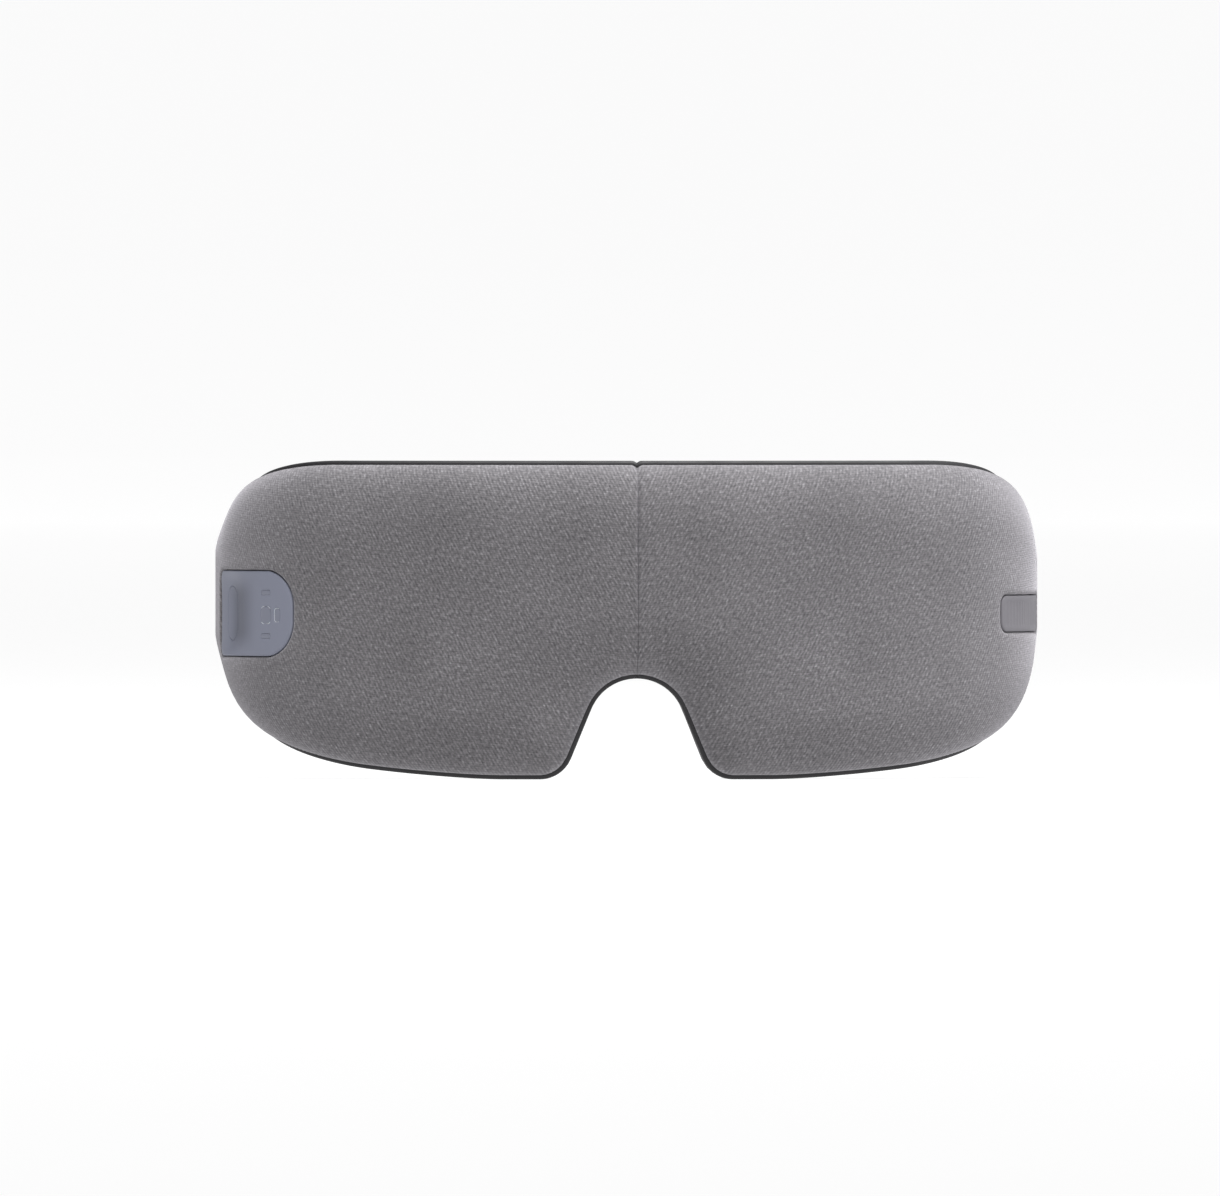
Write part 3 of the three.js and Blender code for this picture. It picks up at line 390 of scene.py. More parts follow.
def region(name, side, points, loops, keep, front, rear, sharp=35):
    """Closed solid over a region of the sheet with free-form borders and holes.

    loops are closed runs of (s, z) that the mesh follows, keep says which triangles stay from their
    middles, and front and rear give the offsets."""
    sz, triangles = triangulated(loops, [points], 0, 1e-5)
    centre = sz[triangles].mean(1)
    used, triangles = np.unique(triangles[keep(*centre.T)], return_inverse=True)
    triangles, sz = triangles.reshape(-1, 3), sz[used]
    s, z = sz.T
    xyz = np.concatenate([place(side, s, z, front(s, z)), place(side, s, z, rear(s, z))])
    return make(name, xyz, shell_faces(triangles, len(sz)), np.tile(sz * MM, (2, 1)), sharp)


def extruded(name, outer, holes, low, high, sharp=40):
    """Upright prism: outer and holes are closed (x, y) runs in mm."""
    flat, triangles = triangulated([outer, *holes], [], 3 if holes else 1, 1e-6)
    points = np.vstack([np.column_stack([flat, np.full(len(flat), z)]) for z in (high, low)])
    return make(name, points, shell_faces(triangles, len(flat)), sharp=sharp)


def rectangle(x, y):
    """Outline between two ranges."""
    return np.array([(x[0], y[0]), (x[1], y[0]), (x[1], y[1]), (x[0], y[1])])


def circle(x, y, radius, count=40, start=0.0, end=2 * math.pi):
    """Points on a circle, or on the arc between two angles."""
    whole = end - start > 2 * math.pi - 1e-9
    turns = np.linspace(start, end, count, endpoint=not whole)
    return np.column_stack([x + radius * np.cos(turns), y + radius * np.sin(turns)])


def unit_rows(vectors):
    return vectors / np.linalg.norm(vectors, axis=1, keepdims=True)


def lengths_along(path):
    """Length from a path's start to each of its points."""
    return np.concatenate([[0], np.cumsum(np.linalg.norm(np.diff(path, axis=0), axis=1))])


SMALLEST_CORNER = 0.15


def rounded_distance(area, s, z):
    """Signed distance of (s, z) from a rounded rectangle, negative inside."""
    middle_s, middle_z = (area["from"] + area["to"]) / 2, (area["low"] + area["high"]) / 2
    half_s, half_z = (area["to"] - area["from"]) / 2, (area["high"] - area["low"]) / 2
    radius = np.where(s < middle_s, area["from_corner"], area["to_corner"])
    qs, qz = np.abs(s - middle_s) - half_s + radius, np.abs(z - middle_z) - half_z + radius
    return np.hypot(np.maximum(qs, 0), np.maximum(qz, 0)) + np.minimum(np.maximum(qs, qz), 0) - radius


def rounded_loop(area, grow=0.0, step=0.5):
    """Closed run round a rounded rectangle grown by that much."""
    near, far = area["from"] - grow, area["to"] + grow
    low, high = area["low"] - grow, area["high"] + grow
    r0, r1 = (max(SMALLEST_CORNER, area[end] + grow) for end in ("from_corner", "to_corner"))
    corners = ((far - r1, high - r1, r1, 0), (near + r0, high - r0, r0, math.pi / 2),
               (near + r0, low + r0, r0, math.pi), (far - r1, low + r1, r1, 1.5 * math.pi))
    points = []
    for s, z, radius, angle in corners:
        count = max(4, math.ceil(radius * 1.6 / step) + 1)
        points.append(circle(s, z, radius, count, angle, angle + math.pi / 2))
    points = np.vstack(points)
    loop = []
    for a, b in zip(points, np.roll(points, -1, axis=0)):
        pieces = max(1, math.ceil(np.linalg.norm(b - a) / step))
        loop += [a + (b - a) * i / pieces for i in range(pieces)]
    return np.array(loop)


def grid_points(area, step, inset):
    """Free points on a staggered grid inside a rounded rectangle."""
    across = np.arange(area["from"], area["to"], step)
    s, z = np.meshgrid(across, np.arange(area["low"], area["high"], step * 0.87))
    s = s + (np.arange(len(s)) % 2)[:, None] * step / 2
    s, z = s.ravel(), z.ravel()
    inside = rounded_distance(area, s, z) < -inset
    return np.column_stack([s[inside], z[inside]])


def points_mm(piece):
    flat = np.empty(len(piece.data.vertices) * 3)
    piece.data.vertices.foreach_get("co", flat)
    return flat.reshape(-1, 3) / MM


def move_points(piece, points):
    piece.data.vertices.foreach_set("co", (points * MM).ravel())
    piece.data.update()


def fit(piece, material, body, slot, *nodes):
    """What every piece needs: its material, the body it rides on and what it stands for. The slot is not
    used.
    """
    dress(piece, material)
    if body:
        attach(piece, body)
    if nodes:
        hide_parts(*nodes)


def dress(piece, material):
    piece.data.materials.clear()
    piece.data.materials.append(material)


# ---------------------------------------------------------------- materials
class Shader:
    """A material with a Principled shader, and short calls to add its nodes."""

    def __init__(self, name, roughness=0.5, **values):
        self.material = bpy.data.materials.new(name)
        self.material.use_nodes = True
        self.tree = self.material.node_tree
        self.tree.nodes.clear()
        self.out = self.node("ShaderNodeOutputMaterial")
        self.shader = self.node("ShaderNodeBsdfPrincipled")
        self.link(self.shader.outputs["BSDF"], self.out.inputs["Surface"])
        self.shader.inputs["Roughness"].default_value = roughness
        for socket, value in values.items():
            self.shader.inputs[socket.replace("_", " ")].default_value = value

    def node(self, kind, **settings):
        made = self.tree.nodes.new(kind)
        for key, value in settings.items():
            setattr(made, key, value)
        return made

    def link(self, a, b):
        self.tree.links.new(a, b)

    def mapped(self, vector, socket, value):
        mapping = self.node("ShaderNodeMapping")
        mapping.inputs[socket].default_value = value
        self.link(vector, mapping.inputs["Vector"])
        return mapping.outputs["Vector"]

    def sheet(self, turn=0.0, stretch=(1, 1)):
        """The piece's own sheet coordinates, in mm, turned by degrees and stretched."""
        vector = self.node("ShaderNodeUVMap", uv_map="sheet").outputs["UV"]
        if turn:
            vector = self.mapped(vector, "Rotation", (0, 0, math.radians(turn)))
        return self.mapped(vector, "Scale", (stretch[0] / MM, stretch[1] / MM, 1 / MM))

    def space(self, stretch=(1, 1, 1), scale=1 / MM):
        """The piece's own object coordinates, in mm by default."""
        vector = self.node("ShaderNodeTexCoord").outputs["Object"]
        return self.mapped(vector, "Scale", [scale * x for x in stretch])

    def texture(self, kind, vector, values, output="Fac", **settings):
        made = self.node(f"ShaderNodeTex{kind}", **settings)
        for socket, value in values.items():
            made.inputs[socket].default_value = value
        self.link(vector, made.inputs["Vector"])
        return made.outputs[output]

    def noise(self, vector, scale, detail=2.0, roughness=0.5):
        return self.texture("Noise", vector, {"Scale": scale, "Detail": detail, "Roughness": roughness})

    def bands(self, vector, period, distortion=0.0, direction="X", detail_scale=1.0):
        values = {"Scale": math.pi / 10 / period, "Distortion": distortion, "Detail": 1.0}
        values["Detail Scale"] = detail_scale
        return self.texture("Wave", vector, values, wave_type="BANDS", bands_direction=direction)

    def cells(self, vector, scale, feature="F1", randomness=1.0):
        values = {"Scale": scale, "Randomness": randomness}
        return self.texture("Voronoi", vector, values, "Distance", feature=feature)

    def math(self, operation, a, b):
        made = self.node("ShaderNodeMath", operation=operation)
        for socket, value in zip(made.inputs, (a, b)):
            if isinstance(value, (int, float)):
                socket.default_value = value
            else:
                self.link(value, socket)
        return made.outputs["Value"]

    def total(self, *terms):
        """Sum of (value, weight) pairs."""
        result = 0.0
        for value, weight in terms:
            result = self.math("ADD", result, self.math("MULTIPLY", value, weight))
        return result

    def spread(self, value, low, high, to_low=0.0, to_high=1.0, **settings):
        made = self.node("ShaderNodeMapRange", **settings)
        numbers = {"From Min": low, "From Max": high, "To Min": to_low, "To Max": to_high}
        for socket, number in numbers.items():
            made.inputs[socket].default_value = number
        self.link(value, made.inputs["Value"])
        return made.outputs["Result"]

    def soft(self, value, low, high):
        """Smooth step from 0 at low to 1 at high, which may be the smaller of the two."""
        ends = (low, high, 0.0, 1.0) if low < high else (high, low, 1.0, 0.0)
        return self.spread(value, *ends, interpolation_type="SMOOTHSTEP")

    def tones(self, value, *stops):
        """Colour from a 0..1 value: stops are (place, hex colour)."""
        ramp = self.node("ShaderNodeValToRGB")
        elements = ramp.color_ramp.elements
        while len(elements) < len(stops):
            elements.new(0.5)
        for element, (position, colour) in zip(elements, stops):
            element.position = position
            element.color = linear(colour)
        self.link(value, ramp.inputs["Fac"])
        return ramp.outputs["Color"]

    def colour(self, output):
        self.link(output, self.shader.inputs["Base Color"])

    def rough(self, output):
        self.link(output, self.shader.inputs["Roughness"])

    def bump(self, height, distance_mm, strength=1.0):
        made = self.node("ShaderNodeBump")
        made.inputs["Distance"].default_value = distance_mm * MM
        made.inputs["Strength"].default_value = strength
        self.link(height, made.inputs["Height"])
        self.link(made.outputs["Normal"], self.shader.inputs["Normal"])


def linear(colour):
    """Linear RGBA of a hex colour."""
    parts = [int(colour[i:i + 2], 16) / 255 for i in (0, 2, 4)]
    return [p / 12.92 if p <= 0.04045 else ((p + 0.055) / 1.055) ** 2.4 for p in parts] + [1.0]


def knit_material():
    """Melange jersey: fine diagonal ribs of light and dark yarns, with a soft sheen."""
    m = Shader("melange_knit", roughness=0.95, Sheen_Weight=0.5, Sheen_Roughness=0.5)
    m.shader.inputs["Sheen Tint"].default_value = linear("e6e3ea")
    m.shader.inputs["Specular IOR Level"].default_value = 0.2
    ribs = m.bands(m.sheet(turn=26), 0.78, distortion=0.9, detail_scale=1.2)
    courses = m.bands(m.sheet(turn=-4), 0.55, distortion=0.7, direction="Y")
    yarns = m.noise(m.sheet(turn=22, stretch=(1.3, 0.6)), 1.4, detail=3, roughness=0.65)
    flecks = m.noise(m.sheet(turn=-14, stretch=(0.9, 1.3)), 1.2, detail=3, roughness=0.6)
    clouds = m.noise(m.sheet(), 0.05, detail=2)
    tone = m.total((yarns, 0.6), (flecks, 0.6), (ribs, 0.09), (courses, 0.05), (clouds, 0.14))
    tone = m.spread(tone, 0.5, 1.1)
    m.colour(m.tones(tone, (0.0, "414043"), (0.42, "646264"), (0.62, "787679"), (1.0, "a5a3a6")))
    m.bump(m.total((ribs, 0.5), (courses, 0.35), (yarns, 0.6)), 0.09, 0.6)
    return m.material


def plastic_material(name, dark, light, roughness=0.5, grain=0.03):
    """Moulded plastic: fine spark-eroded grain, and a tone that drifts a little."""
    m = Shader(name, roughness=roughness)
    where = m.space()
    drift = m.noise(where, 0.04, detail=2)
    fine = m.noise(where, 6.0, detail=2)
    m.colour(m.tones(m.total((drift, 0.8), (fine, 0.2)), (0.3, dark), (0.7, light)))
    m.rough(m.spread(m.noise(where, 0.15, detail=3), 0.3, 0.7, roughness - 0.06, roughness + 0.08))
    m.bump(fine, grain, 0.5)
    return m.material


def panel_material(name, face, recess):
    """Matt panel plastic, with painted shade in the finger recess: darker there, fading out at its rim."""
    m = Shader(name, roughness=0.55)
    m.shader.inputs["Specular IOR Level"].default_value = 0.25
    parts = m.node("ShaderNodeSeparateXYZ")
    m.link(m.sheet(), parts.inputs["Vector"])
    s, z = parts.outputs["X"], parts.outputs["Y"]
    # Painted shade: the recess colour darkens the plastic where the finger recess sinks, standing in for
    # the shade that falls there.
    into = m.soft(s, SCOOP_S - 15, SCOOP_S - 5)
    out = m.soft(s, SCOOP_S + 4, SCOOP_S - 2)
    ends = m.soft(m.math("ABSOLUTE", m.math("SUBTRACT", z, SCOOP_Z), 0), 10.5, 4.0)
    recess_shade = m.math("MULTIPLY", m.math("MULTIPLY", into, out), ends)
    fine = m.noise(m.space(), 6.0, detail=2)
    recess_shade = m.math("ADD", recess_shade, m.spread(fine, 0.3, 0.7, -0.05, 0.05))
    m.colour(m.tones(recess_shade, (0.0, face), (1.0, recess)))
    m.bump(fine, 0.012, 0.5)
    return m.material


def leather_material(name, dark, light):
    """Soft coated leather: pebbled grain with fine creases."""
    m = Shader(name, roughness=0.55)
    where = m.space()
    pebbles = m.cells(where, 0.95)
    fine = m.noise(where, 1.6, detail=3)
    blotches = m.noise(where, 0.05, detail=3)
    m.colour(m.tones(m.total((pebbles, 0.3), (blotches, 1.0)), (0.35, dark), (0.8, light)))
    m.rough(m.spread(pebbles, 0.1, 0.8, 0.46, 0.64))
    m.bump(m.total((pebbles, -0.7), (fine, 0.5)), 0.16, 0.55)
    return m.material


def metal_material(name, dark, light, roughness=0.32, stretch=(1, 1, 0.08)):
    """Metal with the fine lines of its machining or rolling."""
    m = Shader(name, roughness=roughness, Metallic=1.0)
    lines = m.noise(m.space(stretch=stretch), 4.0, detail=3)
    m.colour(m.tones(lines, (0.3, dark), (0.7, light)))
    m.rough(m.spread(lines, 0.3, 0.7, roughness - 0.07, roughness + 0.12))
    m.bump(lines, 0.01, 0.4)
    return m.material


def webbing_material():
    """Woven elastic: ribs along its length and small weft bumps across."""
    m = Shader("strap_elastic", roughness=0.9, Sheen_Weight=0.25, Sheen_Roughness=0.5)
    along = m.bands(m.sheet(), 0.9, distortion=0.3, direction="Y")
    across = m.bands(m.sheet(), 0.55, distortion=0.6, direction="X")
    yarns = m.noise(m.sheet(stretch=(1.6, 0.9)), 1.3, detail=3)
    tone = m.total((yarns, 0.6), (m.math("MULTIPLY", along, across), 0.45))
    m.colour(m.tones(tone, (0.2, "2b2a2e"), (0.55, "4c4a50"), (0.9, "77747b")))
    m.bump(m.total((along, 1.0), (across, 0.6)), 0.14, 0.8)
    return m.material


def board_material():
    """Solder mask over copper tracks, with small pads."""
    m = Shader("solder_mask", roughness=0.4, Coat_Weight=0.3, Coat_Roughness=0.2)
    where = m.space()
    tracks = m.cells(where, 0.55, feature="DISTANCE_TO_EDGE", randomness=0.35)
    m.colour(m.tones(tracks, (0.04, "2f8a55"), (0.10, "15502f"), (0.6, "1a5c38")))
    m.bump(m.spread(tracks, 0.03, 0.12, 1, 0), 0.04, 0.6)
    return m.material


def film_material():
    """Etched copper heating track on amber film."""
    m = Shader("heating_track", roughness=0.38)
    track = m.bands(m.space(), 2.6, direction="Z")
    m.colour(m.tones(track, (0.45, "7a4512"), (0.55, "c98a4e")))
    m.link(m.spread(track, 0.45, 0.55, 0.0, 0.9), m.shader.inputs["Metallic"])
    m.bump(track, 0.05, 0.4)
    return m.material


def silicone_material(name, dark, light):
    m = Shader(name, roughness=0.42, Subsurface_Weight=0.15, Subsurface_Scale=0.002)
    drift = m.noise(m.space(), 0.12, detail=3)
    m.colour(m.tones(drift, (0.3, dark), (0.7, light)))
    m.bump(m.noise(m.space(), 2.0, detail=2), 0.03, 0.4)
    return m.material


def foil_material():
    """Crimped pouch foil with shallow wrinkles."""
    m = Shader("pouch_foil", roughness=0.35, Metallic=0.8)
    folds = m.noise(m.space(stretch=(1, 1, 0.4)), 0.35, detail=4)
    m.colour(m.tones(folds, (0.3, "8b8f96"), (0.7, "b6b9be")))
    m.bump(folds, 0.25, 0.6)
    return m.material


KNIT = knit_material()
TRIM = plastic_material("trim_moulding", "131215", "1a191c", roughness=0.6)
HOUSING = plastic_material("housing_moulding", "26272b", "323338", roughness=0.58, grain=0.05)
# The second colour of each is painted shade, laid into the finger recess.
PANEL_FACE = panel_material("panel_moulding", "7b7e8c", "5a5d6b")
BUTTON_FACE = panel_material("button_moulding", "787b89", "585b69")
WINDOW = plastic_material("window_moulding", "6f7280", "757886", roughness=0.4, grain=0.008)
LABEL_FACE = plastic_material("tab_moulding", "605e63", "6b696e", roughness=0.7, grain=0.02)
LEATHER = leather_material("pad_leather_grain", "2c2c30", "45454a")
THREAD = plastic_material("sewing_thread", "4a494e", "66646a", roughness=0.8, grain=0.05)
ELASTIC = webbing_material()
STEEL = metal_material("drawn_steel", "9a9ca0", "c4c6c9")
BRASS = metal_material("turned_brass", "a8813f", "d2ab62", stretch=(1, 1, 1))
BOARD = board_material()
FILM = film_material()
SILICONE = silicone_material("milky_silicone", "c9cacd", "dfe0e2")
FOIL = foil_material()
WEB = knit_material()
WEB.name = "gusset_knit"

# ---------------------------------------------------------------- fabric front
SEAM_S = 0.04  # half of the gap between the covers at the seam
SEAM_ROLL = (0.25, 0.6)  # radius of the cover's turned edge at the nose, and what the top adds
HOLE_GAP = 0.22  # between the cover and what is let into it
HOLE_ROLL = 0.8  # radius of the cover's turned edge there
SEAM_LIP, LIP_DEPTH = 1.25, 3.6  # the cover turns in round the shell's end: how far along and how deep


def rolled(radius, away):
    """How far a rounded edge has dropped at that distance from it."""
    return arc_drop(radius, np.clip(radius - away, 0, radius))


def front_offset(s, z):
    return BULGE * border_rise(s, z, FABRIC_EDGE, BULGE_RUN)


def seam_drop(s, z):
    """The cover rolls into the seam, tightly at the nose and softly towards the top."""
    tight, added = SEAM_ROLL
    return rolled(tight + added * smooth(z, CROWN_TOP + 6, HEIGHT - 12), s - SEAM_S)


def hole_drop(area, s, z):
    """The cover rolls down to a recessed part's edge."""
    return rolled(HOLE_ROLL, rounded_distance(area, s, z) - HOLE_GAP)


def knit_cover(name, side):
    area = PANEL if name == "left" else LABEL
    seam_columns = SEAM_S + SEAM_ROUND * (1 - np.cos(np.linspace(0, math.pi / 2, 8)))
    seam_columns = np.sort(np.append(seam_columns, [SEAM_LIP, SEAM_LIP + 0.1]))
    s, z = sheet_grid(seam_columns, FABRIC_EDGE, BULGE_RUN, 14, 1.25)
    rim = grid_rim(*s.shape)
    flat = np.column_stack([s.ravel(), z.ravel()])
    inner = flat[np.setdiff1d(np.arange(s.size), rim)]
    inner = inner[rounded_distance(area, *inner.T) > 1.6]
    rolls = [rounded_loop(area, HOLE_GAP + grow, 0.6) for grow in (0, 0.06, 0.2, 0.45, HOLE_ROLL)]

    def keep(cs, cz):
        inside = (cz > bottom_edge(cs)) & (cz < top_edge(cs)) & (rounded_distance(area, cs, cz) > HOLE_GAP)
        return inside & (distance_to(OUTLINE, cs, cz) > FABRIC_EDGE * 0.9)

    def front(ps, pz):
        return front_offset(ps, pz) - seam_drop(ps, pz) - hole_drop(area, ps, pz)

    def rear(ps, pz):
        dish = front_offset(ps, pz)
        inside = np.maximum(dish - FABRIC_THICK, TRIM_FRONT + 0.05)
        return np.where(ps <= SEAM_LIP + 0.01, np.minimum(dish - LIP_DEPTH, inside), inside)

    cover = region(f"{name}_knit_cover", side, inner, [flat[rim], *rolls], keep, front, rear, sharp=55)
    fit(cover, KNIT, f"{name}_half", "cover_fabric", f"{name}_fabric_skin")


# ---------------------------------------------------------------- trim round the edge
TRIM_START = 0.04  # where the trim's ends meet the seam
TRIM_CORNERS = (0.9, 0.5)  # radii of its front and rear corners


def edge_trim(name, side):
    """Moulded rim with rounded front and back corners, swept round the outline."""
    path = OUTLINE[OUTLINE[:, 0] >= TRIM_START]
    path = np.vstack([[TRIM_START, bottom_edge(TRIM_START)], path, [TRIM_START, top_edge(TRIM_START)]])
    tangent = np.gradient(path, axis=0)
    tangent[0], tangent[-1] = (1, 0), (-1, 0)
    tangent = unit_rows(tangent)
    front, back = TRIM_CORNERS
    front_corner = circle(front, TRIM_FRONT - front, front, 5, math.pi / 2, math.pi)
    back_corner = circle(back, TRIM_BACK + back, back, 4, math.pi, 1.5 * math.pi)
    section = [(TRIM_WIDTH, TRIM_FRONT), *front_corner, *back_corner, (TRIM_WIDTH, TRIM_BACK)]
    rings = []
    for inset, offset in section:
        s = path[:, 0] - inset * tangent[:, 1]
        z = path[:, 1] + inset * tangent[:, 0]
        rings.append(place(side, s, z, offset))
    points = np.stack(rings, axis=1)
    faces = ring_faces(*points.shape[:2])
    trim = make(f"{name}_edge_piping", points.reshape(-1, 3), faces, sharp=40)
    fit(trim, TRIM, f"{name}_half", "trim_plastic", f"{name}_edge_trim")


# ---------------------------------------------------------------- control panel and label
def scoop(s, z):
    """Finger recess across the panel: a long slope from the front and a short one behind."""
    from_middle = s - SCOOP_S
    run = np.where(from_middle < 0, *SCOOP_RUNS)
    along = 1 - np.clip(np.abs(z - SCOOP_Z) / SCOOP_REACH, 0, 1) ** 3
    return SCOOP_DEPTH * np.exp(-((from_middle / run) ** 2)) * along


ICONS = (  # s, z, width and height of each window
    (93.6, 46.2, 3.2, 1.2),
    (93.6, 40.6, 3.6, 4.4),
    (93.6, 35.4, 3.2, 1.2),
    (89.7, 40.6, 1.7, 3.4),
)
ICON_GAP, BUTTON_GAP = 0.03, 0.05
PANEL_LEVEL = BULGE - 0.1
SOFT_EDGE, HOLE_EDGE = 0.45, 0.12  # radii of a plate's edge and of the edges of its holes


def icon_area(icon, grow=0.0):
    s, z, width, height = icon
    half_s, half_z = width / 2 + grow, height / 2 + grow
    corner = 0.75 * min(half_s, half_z)
    return rounded_area(s - half_s, s + half_s, z - half_z, z + half_z, corner, corner)


def plate(name, side, area, level, thick, holes=(), step=0.8, edge=SOFT_EDGE, shape=None):
    """Curved plate over a rounded rectangle, with softened edges and holes."""
    loops = [rounded_loop(area, -share * edge, step) for share in (0, 0.05, 0.25, 0.6, 1)]
    points = grid_points(area, step, edge + 0.3)
    for hole in holes:
        loops += [rounded_loop(hole, share * HOLE_EDGE, 0.35) for share in (0, 0.3, 1)]
        points = points[rounded_distance(hole, *points.T) > HOLE_EDGE + 0.2]

    def keep(cs, cz):
        inside = rounded_distance(area, cs, cz) < 0
        for hole in holes:
            inside &= rounded_distance(hole, cs, cz) > 0
        return inside

    def front(s, z):
        offset = level - rolled(edge, -rounded_distance(area, s, z))
        if shape:
            offset = offset - shape(s, z)
        for hole in holes:
            offset = offset - rolled(HOLE_EDGE, rounded_distance(hole, s, z))
        return offset

    def rear(s, z):
        return front(s, z) - thick

    return region(name, side, points, loops, keep, front, rear, sharp=50)


def control_panel():
    side, body = SIDES["left"], "left_half"
    grown = {"from": -BUTTON_GAP, "low": -BUTTON_GAP, "to": BUTTON_GAP, "high": BUTTON_GAP}
    holes = [{**BUTTON, **{end: BUTTON[end] + by for end, by in grown.items()}}]
    holes += [icon_area(icon, ICON_GAP) for icon in ICONS]
    face = plate("panel_face", side, PANEL, PANEL_LEVEL, 1.1, holes, step=0.7, shape=scoop)
    fit(face, PANEL_FACE, body, "panel_plastic", "control_panel")
    cap = plate("panel_button", side, BUTTON, PANEL_LEVEL - 0.02, 2.2, step=0.6, edge=0.1, shape=scoop)
    fit(cap, BUTTON_FACE, "power_button", "panel_plastic", "power_button")
    for number, icon in enumerate(ICONS, 1):
        name, level = f"panel_window_{number}", PANEL_LEVEL - 0.04
        window = plate(name, side, icon_area(icon), level, 1.6, step=0.5, edge=0.1)
        fit(window, WINDOW, body, "light_window")


RIB_HEIGHT, RIB_PITCH = 0.12, 1.6


def side_label():
    def ribbed(s, z):
        inside = smooth(-rounded_distance(LABEL, s, z), 1.2, 1.8)
        return RIB_HEIGHT * inside * (0.5 - 0.5 * np.cos(2 * math.pi * s / RIB_PITCH))

    label = plate("side_tab", SIDES["right"], LABEL, PANEL_LEVEL, 0.9, step=0.4, shape=ribbed)
    fit(label, LABEL_FACE, "right_half", "panel_plastic", "side_label")


# ---------------------------------------------------------------- rear tray
POCKET = rounded_area(27.4, 54.6, 25.4, 60.6, 1.0, 1.0)
HOUSING_SCREWS = ((40.0, 67.0), (40.0, 13.0), (91.0, 66.0), (91.0, 21.0))
SCREW_HEAD, SCREW_SHANK = 2.2, 1.2  # radii of the counterbores and of the bores beyond them
TRAY_WALL = 1.8
NECK_SLOT = ((135.7, 147.0), (37.7, 53.3), (-6.3, -3.7))  # ranges of s, z and offset
PORT_S, PORT_OFFSET, PORT_LOW, PORT_HIGH = 76.0, -8.0, 4.9, 12.4
PORT_WIDTH, PORT_DEPTH, PORT_CLEAR = 9.0, 3.2, 0.3


def depth_to(s, y):
    """Depth behind the plan curve of the plane at that y, in the CAD's frame."""
    _, at_y, turn = plan(s)
    return (y - at_y) / np.cos(turn)


def tray_depth(s):
    start, end = TRAY_RAMP
    ramp = np.clip((s - start) / (end - start), 0, 1)
    at_hinge = depth_to(np.minimum(s, end), TRAY["hinge_face"])
    thinner = (TRAY["deep"] - TRAY["tip"]) * smooth(s, TRAY_THINS, TIP_S)
    return at_hinge + (TRAY["deep"] - at_hinge) * ramp - thinner


def neck_tool(side):
    """Block that clears the strap anchor's neck."""
    return sheet_block("neck_tool", side, *NECK_SLOT)


def port_outline(grow, count=9):
    """Oblong of the charging port, as (along, out) points."""
    radius = PORT_DEPTH / 2 + grow
    reach = PORT_WIDTH / 2 - PORT_DEPTH / 2
    right = circle(reach, 0, radius, count, -math.pi / 2, math.pi / 2)
    return np.vstack([right, -right])


def at_port(outline):
    """(x, y) points of an (along, out) outline round the port's middle."""
    side, turn = SIDES["left"], plan(PORT_S)[2]
    along, out = outline.T
    dx = side * (along * np.cos(turn) + out * np.sin(turn))
    dy = along * np.sin(turn) - out * np.cos(turn)
    return place(side, PORT_S, 0, PORT_OFFSET)[:2] + np.column_stack([dx, dy])


def port_tool():
    """Prism that clears the charging port, down through the edge below it."""
    return extruded("port_tool", at_port(port_outline(PORT_CLEAR)), [], 0, PORT_HIGH + PORT_CLEAR)


def tray_tools(name, side):
    """Tools for the screws' counterbores, the neck's slot and the charging port."""
    tools = [neck_tool(side)]
    for s, z in HOUSING_SCREWS:
        back = -float(tray_depth(s))
        tools.append(spot_bore(side, s, z, SCREW_HEAD, back - 1.0, back + 1.0))
        tools.append(spot_bore(side, s, z, SCREW_SHANK, back - 1.2, back + 3.0))
    if name == "left":
        tools.append(port_tool())
    return tools


def spot_bore(side, s, z, radius, low, high, count=24):
    """Round bar through the sheet at (s, z), over a range of offsets."""
    turn = plan(s)[2]
    ds, dz = circle(0, 0, radius, count).T
    around = np.column_stack([side * ds * np.cos(turn), ds * np.sin(turn), dz])
    points = np.vstack([place(side, s, z, offset) + around for offset in (low, high)])
    return make("bore_tool", points, ring_faces(2, count))


def rear_tray(name, side):
    wall_end = SHELL_END + TRAY_WALL
    starts = np.array([SHELL_END, 2.4, wall_end - 0.05, wall_end + 0.05])
    edge, run, rim = TRAY["edge"], TRAY["run"], TRAY["rim"]
    s, z = sheet_grid(starts, edge, run, 9, 2.2)
    depth = tray_depth(s) + rim
    rear = rim - depth * border_rise(s, z, edge, run) - 0.05
    front = rim - (depth - TRAY_WALL) * border_rise(s, z, edge + TRAY_WALL, run - TRAY_WALL)
    front = np.where(s < wall_end, rim, front)
    tray = between(f"{name}_rear_tray", side, s, z, front, rear)
    for tool in tray_tools(name, side):
        cut(tray, tool)
    tray.data.set_sharp_from_angle(angle=math.radians(40))
    fit(tray, HOUSING, f"{name}_half", "shell_plastic", f"{name}_rear_shell")


# ---------------------------------------------------------------- face pads
EYE = {"s": 43.0, "z": 42.0, "half_s": 22.5, "half_z": 17.5}
TEMPLE_SEAM = 79.0
TEMPLE_BOW = (0.006, 43.0)  # how much that seam bows, and the height where it is nearest the nose
PAD_RIM = 0.5  # thickness of the pad's rolled edge
NOSE_ROUND = 3.0  # radius of the pad's end beside the nose
PAD_NOSE_DEPTH = 12
PAD_STEPS = ((16, 0, 34), (-8, 36, 84), (-9, 100, 140))  # how the depth changes, between which lengths
PUFF_SLACK, EYE_HOLLOW = 1.0, 0.6
POCKET_DEPTH = 3.8
STITCH, STITCH_PITCH, PAD_THREAD = 2.4, 3.1, 0.34


